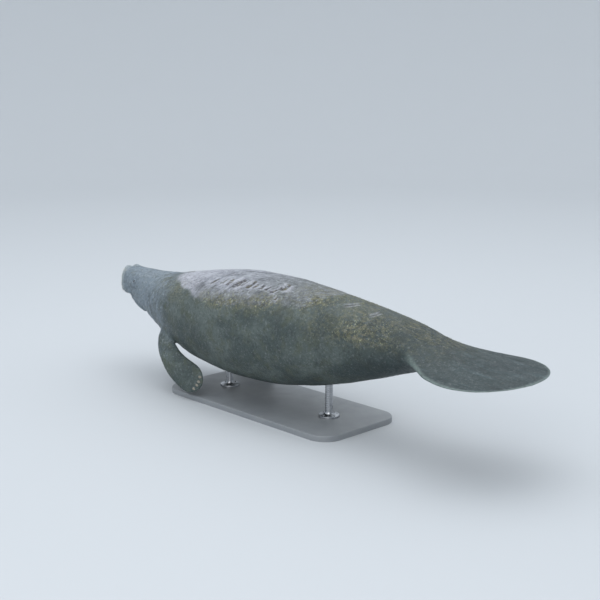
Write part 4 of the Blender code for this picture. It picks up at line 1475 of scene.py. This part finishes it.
    def _marks(self, nodes: Nodes, here: Signal, base: Signal) -> Signal:
        """Lays scars, pits, flecks, painted shade in the sunken folds, darker lines along a net of furrows
        and painted shade inside the nostrils over a colour.
        """
        broken = nodes.noise(here, 110.0, 4.0, 0.75).span(0.34, 0.56)
        base = base.painted(nodes.attribute("scar_rim") * 0.55, self.scar_rim)
        healed = nodes.mix(nodes.noise(here, 36.0).span(0.45, 0.60), self.scar, self.scar_growth)
        base = base.painted(nodes.attribute("scar").span(0.08, 0.60) * broken * 0.95, healed)
        base = base.painted(nodes.effect(specks(), here, 230.0, Share=0.35) * 0.45, self.pit)
        plain = nodes.maths("SUBTRACT", 1.0, nodes.attribute("pad") * 0.4)
        mottle = nodes.noise(here, 62.0, 4.0, 0.7).span(0.50, 0.64, 0.0, 0.46)
        base = base.painted(mottle * plain, self.pit)
        ahead = here.parts()[0].span(-0.60, -1.05)
        shown = nodes.maths("ADD", nodes.attribute("dry"), ahead, clamp=True) * 0.66 + 0.34
        gleam = nodes.noise(here, 74.0, 4.0, 0.7).span(0.52, 0.70, 0.0, 0.45)
        base = base.painted(gleam * shown, self.fleck)
        spread = nodes.noise(here, 5.0).span(0.45, 0.66, 0.05, 0.65) * shown
        base = base.painted(nodes.effect(specks(), here, 150.0, Share=0.16) * spread, self.fleck)
        # Painted shade where the small folds sink in.
        base = base.painted(nodes.attribute("hollow").span(0.25, 1.0, 0.0, 0.45) * plain, self.pit)
        cracks = nodes.effect(furrows(), here.stretched(2.0, 1.0, 1.0), 70.0, Width=0.10)
        base = base.painted(cracks.span(0.75, 0.1, 0.0, 0.30) * plain, self.pit)
        # Painted shade inside the nostrils.
        return base.painted(nodes.attribute("cavity") * 0.92, self.cavity)

    def _relief(self, nodes: Nodes, here: Signal) -> Signal:
        """Large and small furrows, calmer on the muzzle pad, and the grain of the hide."""
        calm = nodes.attribute("pad") * 0.75
        lengthways = here.stretched(2.0, 1.0, 1.0)
        large = nodes.maths("MAXIMUM", nodes.effect(furrows(), lengthways, 34.0, Width=0.16), calm)
        small = nodes.maths("MAXIMUM", nodes.effect(furrows(), lengthways, 95.0, Width=0.12), calm)
        normal = nodes.bump(large, 0.5, 0.0022)
        normal = nodes.bump(small, 0.55, 0.0012, Normal=normal)
        return nodes.bump(nodes.noise(here, 420.0, 4.0, 0.6), 0.45, 0.0006, Normal=normal)


@dataclass(frozen=True)
class EyeFinish(Finish):
    """A small dark eye with a brown iris and a wet surface."""

    eye: Eye
    iris: Colour = srgb(30, 25, 21)
    pupil: Colour = srgb(6, 6, 8)
    white: Colour = srgb(48, 43, 42)

    def look(self, nodes: Nodes, here: Signal) -> dict[str, object]:
        """White, iris and pupil in rings round the eye's outward line, under a clear coat."""
        centre, out, _ = self.eye.frame()
        offset = nodes.vector("SUBTRACT", here, tuple(centre))
        share = nodes.vector("DOT_PRODUCT", offset, tuple(out), "Value") / self.eye.ball_radius
        rays = nodes.noise(offset.stretched(900.0, 900.0, 900.0), 1.0)
        iris = nodes.mix(rays.span(0.3, 0.7, 0.0, 0.6), self.iris, self.pupil)
        base = nodes.mix(share.span(0.72, 0.80), self.white, iris)
        base = base.painted(share.span(0.900, 0.925), self.pupil)
        wet = {"Roughness": 0.08, "Coat Weight": 1.0, "Coat Roughness": 0.03, "Specular IOR Level": 0.6}
        return {"Base Color": base, **wet}


@dataclass(frozen=True)
class NailFinish(Finish):
    """Worn horn, streaked and stained."""

    horn: Colour = srgb(112, 108, 97)
    worn: Colour = srgb(146, 141, 129)
    stain: Colour = srgb(84, 82, 70)

    def look(self, nodes: Nodes, here: Signal) -> dict[str, object]:
        """Streaks with a slight relief, and stains in patches."""
        grain = nodes.noise(here.stretched(1.0, 2.6, 2.6), 220.0)
        base = nodes.mix(grain.span(0.35, 0.65), self.horn, self.worn)
        base = base.painted(nodes.noise(here, 70.0).span(0.5, 0.75, 0.0, 0.7), self.stain)
        rough = nodes.effect(unevenness(), here, 90.0, Low=0.3, High=0.5)
        return {"Base Color": base, "Roughness": rough, "Normal": nodes.bump(grain, 0.4, 0.0004)}


@dataclass(frozen=True)
class ThreadFinish(Finish):
    """Hairs, bristles or algae threads, with some drift in their colour."""

    dark: Colour
    light: Colour
    roughness: float
    scale: float = 40.0

    def look(self, nodes: Nodes, here: Signal) -> dict[str, object]:
        """A colour that drifts from dark to light."""
        drift = nodes.effect(unevenness(), here, self.scale, Low=0.0, High=1.0)
        return {"Base Color": nodes.mix(drift, self.dark, self.light), "Roughness": self.roughness}


@dataclass(frozen=True)
class PowderCoatFinish(Finish):
    """Satin grey powder coat with a fine orange peel and a little dust."""

    coat: Colour = srgb(128, 132, 136)
    dust: Colour = srgb(156, 158, 159)

    def look(self, nodes: Nodes, here: Signal) -> dict[str, object]:
        """Dust in a thin film and in specks, over the peel."""
        film = nodes.effect(unevenness(), here, 6.0, Low=0.0, High=0.35)
        grains = nodes.effect(specks(), here, 420.0, Share=0.10) * 0.25
        base = nodes.mix(film, self.coat, self.dust).painted(grains, self.dust)
        rough = nodes.effect(unevenness(), here, 14.0, Low=0.36, High=0.5)
        peel = nodes.bump(nodes.noise(here, 520.0, 2.0), 0.25, 0.0003)
        return {"Base Color": base, "Roughness": rough, "Normal": peel}


@dataclass(frozen=True)
class SteelFinish(Finish):
    """Turned and brushed steel, with rings of tool marks round each rod."""

    steel: Colour = srgb(188, 190, 193)
    shade: Colour = srgb(150, 153, 157)

    def look(self, nodes: Nodes, here: Signal) -> dict[str, object]:
        """Tool marks in the colour and the relief."""
        rings = nodes.noise(here.stretched(20.0, 20.0, 900.0), 1.0)
        base = nodes.mix(rings.span(0.35, 0.65), self.shade, self.steel)
        rough = nodes.effect(unevenness(), here, 30.0, Low=0.24, High=0.36)
        marks = nodes.bump(rings, 0.2, 0.0002)
        return {"Base Color": base, "Metallic": 1.0, "Roughness": rough, "Normal": marks}


@dataclass(frozen=True)
class FloorFinish(Finish):
    """A plain pale studio floor."""

    pale: Colour = srgb(194, 197, 200)

    def look(self, nodes: Nodes, here: Signal) -> dict[str, object]:
        """One matt colour."""
        return {"Base Color": self.pale, "Roughness": 0.9, "Specular IOR Level": 0.2}


def grown(
    name: str, tree: bpy.types.NodeTree, mesh: bpy.types.Mesh, values: dict[str, object]
) -> bpy.types.Object:
    """Runs Geometry Nodes on a mesh.

    Args:
        name: The name of the piece.
        tree: The node tree.
        mesh: The mesh that the tree starts from.
        values: The values of the tree's named inputs.

    Returns:
        The result as a plain mesh object, with no modifier.
    """
    host = object_of(mesh, f"{name}_host")
    modifier = host.modifiers.new(name, "NODES")
    modifier.node_group = tree
    for item in tree.interface.items_tree:
        if item.in_out == "INPUT" and item.name in values:
            modifier[item.identifier] = values[item.name]
    result = evaluated(host)
    bpy.data.objects.remove(host)
    return object_of(result, name)


@dataclass(frozen=True)
class Scatter:
    """Threads grown from the skin by Geometry Nodes, where a mask allows them."""

    trunk: Trunk
    name: str
    mask: str
    density: float
    length: float
    radius: float
    bow: float
    lean: float
    spread: float
    seed: int
    sides: int = 4
    segments: int = 3
    patch: float = 0.003

    def _thread(self, nodes: Nodes, given: dict[str, Signal], place: Signal) -> Signal:
        """One thread that narrows to its tip and bows over."""
        shape = {"Vertices": self.sides, "Side Segments": self.segments, "Radius Top": 0.0001}
        size = {"Radius Bottom": given["Radius"], "Depth": given["Length"]}
        thread = nodes.get("GeometryNodeMeshCone", shape | size, "Mesh")
        up = place.parts()[2] / given["Length"]
        offset = nodes.combine(up * up * given["Bow"])
        return nodes.get("GeometryNodeSetPosition", {"Geometry": thread, "Offset": offset})

    def _lean(self, nodes: Nodes, given: dict[str, Signal], normal: Signal) -> Signal:
        """Turns a thread out of the skin, then back towards the tail with some disorder."""
        straight = nodes.get("FunctionNodeAlignRotationToVector", {"Vector": normal}, axis="Z")
        limits = {"Min": (-1.0, -1.0, 0.0), "Max": (1.0, 1.0, TURN), "Seed": given["Seed"]}
        x, y, _ = nodes.get("FunctionNodeRandomValue", limits, data_type="FLOAT_VECTOR").parts()
        tilt = nodes.combine(x * given["Spread"], y * given["Spread"] + given["Lean"])
        tailward = nodes.get(
            "FunctionNodeAlignRotationToVector",
            {"Rotation": straight, "Vector": (1.0, 0.0, 0.0)},
            axis="X",
            pivot_axis="Z",
        )
        inputs = {"Rotation": tailward, "Rotate By": tilt}
        return nodes.get("FunctionNodeRotateRotation", inputs, rotation_space="LOCAL")

    def _patch(self, nodes: Nodes, root: Signal, place: Signal) -> Signal:
        """A small patch of the map for each thread, at its root's place on the unrolled skin."""
        x, y, z = root.parts()
        off_x, off_y, off_z = nodes.vector("SUBTRACT", place, root).parts()
        share = self.patch / (2 * self.length)
        u = (x + self.trunk.length / 2) / self.trunk.length + off_x * share
        turn = nodes.maths("ARCTAN2", y, z - (self.trunk.axis_height - 0.05))
        return nodes.combine(u, turn / TURN + 0.5 + (off_y + off_z) * share)

    def _fill(self, nodes: Nodes, given: dict[str, Signal]) -> Signal:
        """Plants, maps and paints the threads."""
        named = {"Name": self.mask}
        mask = nodes.get("GeometryNodeInputNamedAttribute", named, "Attribute", data_type="FLOAT")
        soil = {"Mesh": given["Geometry"], "Density": mask * given["Density"], "Seed": given["Seed"]}
        roots = nodes.outputs("GeometryNodeDistributePointsOnFaces", soil)
        place = nodes.get("GeometryNodeInputPosition", {})
        kept = nodes.add("GeometryNodeCaptureAttribute", {"Geometry": roots["Points"]}, domain="POINT")
        kept.capture_items.new("VECTOR", "Root")
        nodes.feed(kept.inputs["Root"], place)
        sized = {2: 0.55, 3: 1.25, "Seed": given["Seed"]}
        plan = {
            "Points": nodes.read(kept)["Geometry"],
            "Instance": self._thread(nodes, given, place),
            "Rotation": self._lean(nodes, given, roots["Normal"]),
            "Scale": nodes.get("FunctionNodeRandomValue", sized, 1, data_type="FLOAT"),
        }
        planted = nodes.get("GeometryNodeInstanceOnPoints", plan)
        real = nodes.get("GeometryNodeRealizeInstances", {0: planted})
        patch = self._patch(nodes, nodes.read(kept)["Root"], place)
        mapped = nodes.get(
            "GeometryNodeStoreNamedAttribute",
            {"Geometry": real, "Name": "OFBake", "Value": patch},
            data_type="FLOAT2",
            domain="CORNER",
        )
        return nodes.get("GeometryNodeSetMaterial", {0: mapped, "Material": given["Material"]})

    def grow(self, skin: bpy.types.Object, material: bpy.types.Material) -> bpy.types.Object:
        """Grows the threads from the skin in a material, as one piece."""
        sizes = ("Density", "Length", "Radius", "Bow", "Lean", "Spread")
        inputs = {"Geometry": GEOMETRY, **dict.fromkeys(sizes, FLOAT), "Seed": WHOLE, "Material": MATERIAL}
        tree = new_group(self.name, "GeometryNodeTree", inputs, GEOMETRY, self._fill)
        values = {label: getattr(self, label.lower()) for label in (*sizes, "Seed")}
        return shaded(grown(self.name, tree, skin.data, values | {"Material": material}))


@dataclass(frozen=True)
class Stand:
    """The base, its two turned rods and the screws that hold their flanges."""

    corner: float = 0.11
    edge: float = 0.005
    rods: tuple[str, ...] = ("front", "rear")
    rod_radius: float = 0.020
    rod_overlap: float = 0.02
    rod_steps: int = 96
    flange_radius: float = 0.055
    flange_edge: float = 0.006
    flange_height: float = 0.012
    screw_ring: float = 0.039
    screw_radius: float = 0.0055
    screws: int = 4

    def _base(self) -> bpy.types.Object:
        """The flat base with round corners."""
        low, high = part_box("stand_base")
        bm = bmesh.new()
        bmesh.ops.create_cube(bm, size=1.0)
        size = Matrix.Diagonal((*(high - low), 1.0))
        bmesh.ops.transform(bm, matrix=Matrix.Translation((low + high) / 2) @ size, verts=bm.verts)
        upright = [edge for edge in bm.edges if abs(edge.verts[0].co.z - edge.verts[1].co.z) > self.edge]
        bmesh.ops.bevel(bm, geom=upright, offset=self.corner, segments=20, profile=0.5, affect="EDGES")
        rim = [edge for edge in bm.edges if all(vert.co.z > high.z - 1e-5 for vert in edge.verts)]
        bmesh.ops.bevel(bm, geom=rim, offset=self.edge, segments=5, profile=0.5, affect="EDGES")
        return shaded(from_bmesh(bm, "base_plate"), 35)

    def _rod(self, word: str, skin: bpy.types.Object) -> bpy.types.Object:
        """One turned rod with its flange, cut to the belly."""
        low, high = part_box(f"stand_rod_{word}")
        shaft, flange = self.rod_radius, self.flange_radius
        profile = [
            (0.0, high.z - low.z + self.rod_overlap),
            (shaft, high.z - low.z + self.rod_overlap),
            (shaft, 0.030),
            (shaft + 0.0015, 0.022),
            (shaft + 0.005, 0.016),
            (shaft + 0.010, 0.0135),
            (flange - 0.003, self.flange_height - 0.001),
            (flange - 0.0008, self.flange_height - 0.003),
            (flange, self.flange_edge),
            (flange, 0.0),
            (0.0, 0.0),
        ]
        bm = turned(profile, self.rod_steps)
        bmesh.ops.translate(bm, vec=((low.x + high.x) / 2, (low.y + high.y) / 2, low.z), verts=bm.verts)
        made = from_bmesh(bm, f"rod_{word}")
        combine(made, "DIFFERENCE", [object_of(skin.data.copy(), "belly")])
        return shaded(made, 30)

    def _screw(self) -> bpy.types.Object:
        """One button-head screw with a six-sided recess."""
        profile = [(0.0, 0.0034), (0.45, 0.0033), (0.80, 0.0026), (1.0, 0.0010), (1.0, -0.0010)]
        bm = turned([(share * self.screw_radius, height) for share, height in profile], 24)
        bmesh.ops.holes_fill(bm, edges=[edge for edge in bm.edges if edge.is_boundary])
        head = from_bmesh(bm, "screw")
        recess = bmesh.new()
        across = self.screw_radius * 0.46
        bmesh.ops.create_cone(
            recess, cap_ends=True, segments=6, radius1=across, radius2=across, depth=0.0044
        )
        bmesh.ops.translate(recess, vec=(0, 0, 0.0036), verts=recess.verts)
        combine(head, "DIFFERENCE", [from_bmesh(recess, "recess")])
        return head

    @staticmethod
    def _set_out(nodes: Nodes, given: dict[str, Signal]) -> Signal:
        """Sets a ring of screws on each flange."""
        screw = nodes.get("GeometryNodeObjectInfo", {"Object": given["Screw"]}, "Geometry")
        joined = nodes.add("GeometryNodeJoinGeometry", {})
        for end in ("Front", "Rear"):
            size = {"Vertices": given["Count"], "Radius": given["Ring Radius"]}
            ring = nodes.get("GeometryNodeMeshCircle", size)
            moved = nodes.get("GeometryNodeTransform", {"Geometry": ring, "Translation": given[end]})
            points = nodes.get("GeometryNodeMeshToPoints", {0: moved})
            placed = nodes.get("GeometryNodeInstanceOnPoints", {"Points": points, "Instance": screw})
            nodes.feed(joined.inputs[0], placed)
        real = nodes.get("GeometryNodeRealizeInstances", {0: nodes.read(joined)["Geometry"]})
        return nodes.get("GeometryNodeSetMaterial", {0: real, "Material": given["Material"]})

    def _screw_piece(self, material: bpy.types.Material) -> bpy.types.Object:
        """The screws round both flanges, set out by Geometry Nodes."""
        screw = self._screw()
        values = {"Screw": screw, "Count": self.screws, "Ring Radius": self.screw_ring, "Material": material}
        inputs = {"Screw": "NodeSocketObject", "Count": WHOLE, "Ring Radius": FLOAT, "Material": MATERIAL}
        for word in self.rods:
            low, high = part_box(f"stand_rod_{word}")
            values[word.title()] = ((low.x + high.x) / 2, (low.y + high.y) / 2, low.z + self.flange_height)
            inputs[word.title()] = VECTOR
        tree = new_group("flange screws", "GeometryNodeTree", inputs, GEOMETRY, self._set_out)
        made = grown("flange_screws", tree, bpy.data.meshes.new("screws"), values)
        bpy.data.objects.remove(screw)
        return shaded(made, 30)

    def build(self, skin: bpy.types.Object) -> None:
        """Builds and dresses the whole stand under the skin."""
        steel = SteelFinish().make("brushed steel")
        dress(self._base(), PowderCoatFinish().make("grey powder coat"), ["stand_base"])
        for word in self.rods:
            dress(self._rod(word, skin), steel, [f"stand_rod_{word}"])
        dress(self._screw_piece(steel), steel)


def dress(
    piece: bpy.types.Object, material: bpy.types.Material, replaced: Sequence[str] = ()
) -> None:
    """Gives a piece its finish and ties it to the frame.

    Args:
        piece: The piece.
        material: Its finish.
        replaced: The nodes that it stands for.
    """
    piece.data.materials.clear()
    piece.data.materials.append(material)
    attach(piece, ROOT)
    if replaced:
        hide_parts(*replaced)
    log.info("%s: %d faces", piece.name, len(piece.data.polygons))


@dataclass(frozen=True)
class Panel:
    """A square soft light that faces the animal."""

    name: str
    place: Triple
    size: float
    watts: float
    tint: Triple


@dataclass(frozen=True)
class Studio:
    """The floor, the lights and the camera at the photo's place."""

    trunk: Trunk
    camera_along: float = 4.153
    camera_side: float = -3.949
    camera_over_axis: float = 1.295
    heading: float = 46.23
    pitch: float = 11.91
    lens: float = 66.58
    sensor: float = 36.0
    sight: float = 100.0
    floor_radius: float = 11.0
    wall_radius: float = 17.0
    wall_height: float = 7.0
    floor_steps: int = 96
    sky: Colour = srgb(222, 228, 234)
    sky_strength: float = 1.5
    panels: tuple[Panel, ...] = (
        Panel("sky_panel", (-0.8, 0.6, 6.5), 6.0, 110.0, (0.96, 0.98, 1.0)),
        Panel("front_panel", (3.5, -6.0, 3.2), 4.0, 110.0, (1.0, 0.99, 0.97)),
    )

    @staticmethod
    def _aim(made: bpy.types.Object, place: Vector, ahead: Vector) -> None:
        """Puts a camera or a light in its place, looking ahead."""
        made.location = place
        made.rotation_euler = ahead.to_track_quat("-Z", "Y").to_euler()

    def _camera(self) -> None:
        """The camera, from the same place and at the same angle as the photo's."""
        data = bpy.data.cameras.new("camera")
        data.lens, data.sensor_width, data.clip_end = self.lens, self.sensor, self.sight
        camera = object_of(data, "camera")
        heading, pitch = math.radians(self.heading), math.radians(self.pitch)
        level = math.cos(pitch)
        ahead = Vector((-math.sin(heading) * level, math.cos(heading) * level, -math.sin(pitch)))
        height = self.trunk.axis_height + self.camera_over_axis
        self._aim(camera, Vector((self.camera_along, self.camera_side, height)), ahead)
        bpy.context.scene.camera = camera

    def _floor(self) -> None:
        """A round pale floor that curves up into a wall, so that no horizon shows."""
        rise = self.wall_radius - self.floor_radius
        curve = [
            (self.floor_radius + rise * math.sin(a), rise * (1 - math.cos(a)))
            for a in np.linspace(0, math.pi / 2, 12)
        ]
        profile = [(0.0, 0.0), *curve, (self.wall_radius, self.wall_height)]
        made = shaded(from_bmesh(turned(profile, self.floor_steps), "studio_floor"))
        made.data.flip_normals()
        made.data.materials.append(FloorFinish().make("studio floor"))

    def _lights(self) -> None:
        """An overcast sky: one large panel overhead, a softer one in front and a weak world."""
        aim = Vector((0, 0, self.trunk.axis_height))
        for panel in self.panels:
            light = bpy.data.lights.new(panel.name, "AREA")
            light.shape, light.size = "SQUARE", panel.size
            light.energy, light.color = panel.watts, panel.tint
            place = Vector(panel.place)
            self._aim(object_of(light, panel.name), place, aim - place)
        world = bpy.data.worlds.new("studio")
        world.use_nodes = True
        background = world.node_tree.nodes["Background"]
        background.inputs["Color"].default_value = self.sky
        background.inputs["Strength"].default_value = self.sky_strength
        bpy.context.scene.world = world
        bpy.context.scene.view_settings.view_transform = "Standard"

    def build(self) -> None:
        """Sets up the whole studio."""
        self._camera()
        self._floor()
        self._lights()


def main() -> None:
    """Builds the animal, its stand and the studio, and ties each piece to the frame."""
    logging.basicConfig(level=logging.INFO, format="%(name)s %(message)s")
    trunk = Trunk()
    Studio(trunk).build()
    flippers = tuple(Flipper(trunk, side) for side in Side)
    eyes = tuple(Eye(trunk, side) for side in Side)
    hide = Hide(trunk, Jaw(trunk), flippers, eyes, tuple(Nostril(trunk, side) for side in Side))
    skin = hide.build()
    dress(skin, HideFinish().make("hide"), hide.nodes)
    for eye in eyes:
        dress(eye.ball(), EyeFinish(eye).make(f"eye {eye.side.word}"), [f"eye_{eye.side.word}"])
    horn = NailFinish().make("nail horn")
    for flipper in flippers:
        dress(flipper.nails(), horn)
    Stand().build(skin)
    bristle = ThreadFinish(srgb(196, 190, 172), srgb(228, 224, 210), 0.45).make("bristle")
    hair = ThreadFinish(srgb(104, 102, 94), srgb(156, 152, 142), 0.5).make("body hair")
    weed = ThreadFinish(srgb(88, 90, 62), srgb(146, 146, 104), 0.8).make("algae thread")
    coats = (
        (bristle, "muzzle_bristles", "bristle", 18000.0, 0.0085, 0.00042, 0.0026, 0.35, 0.35, 3),
        (hair, "body_hairs", "hair", 420.0, 0.012, 0.00030, 0.0050, 0.70, 0.35, 5),
        (weed, "algae_threads", "algae", 5200.0, 0.005, 0.0009, 0.0020, 0.60, 0.60, 9),
    )
    for material, *sizes in coats:
        dress(Scatter(trunk, *sizes).grow(skin, material), material)


if __name__ == "__main__":
    main()
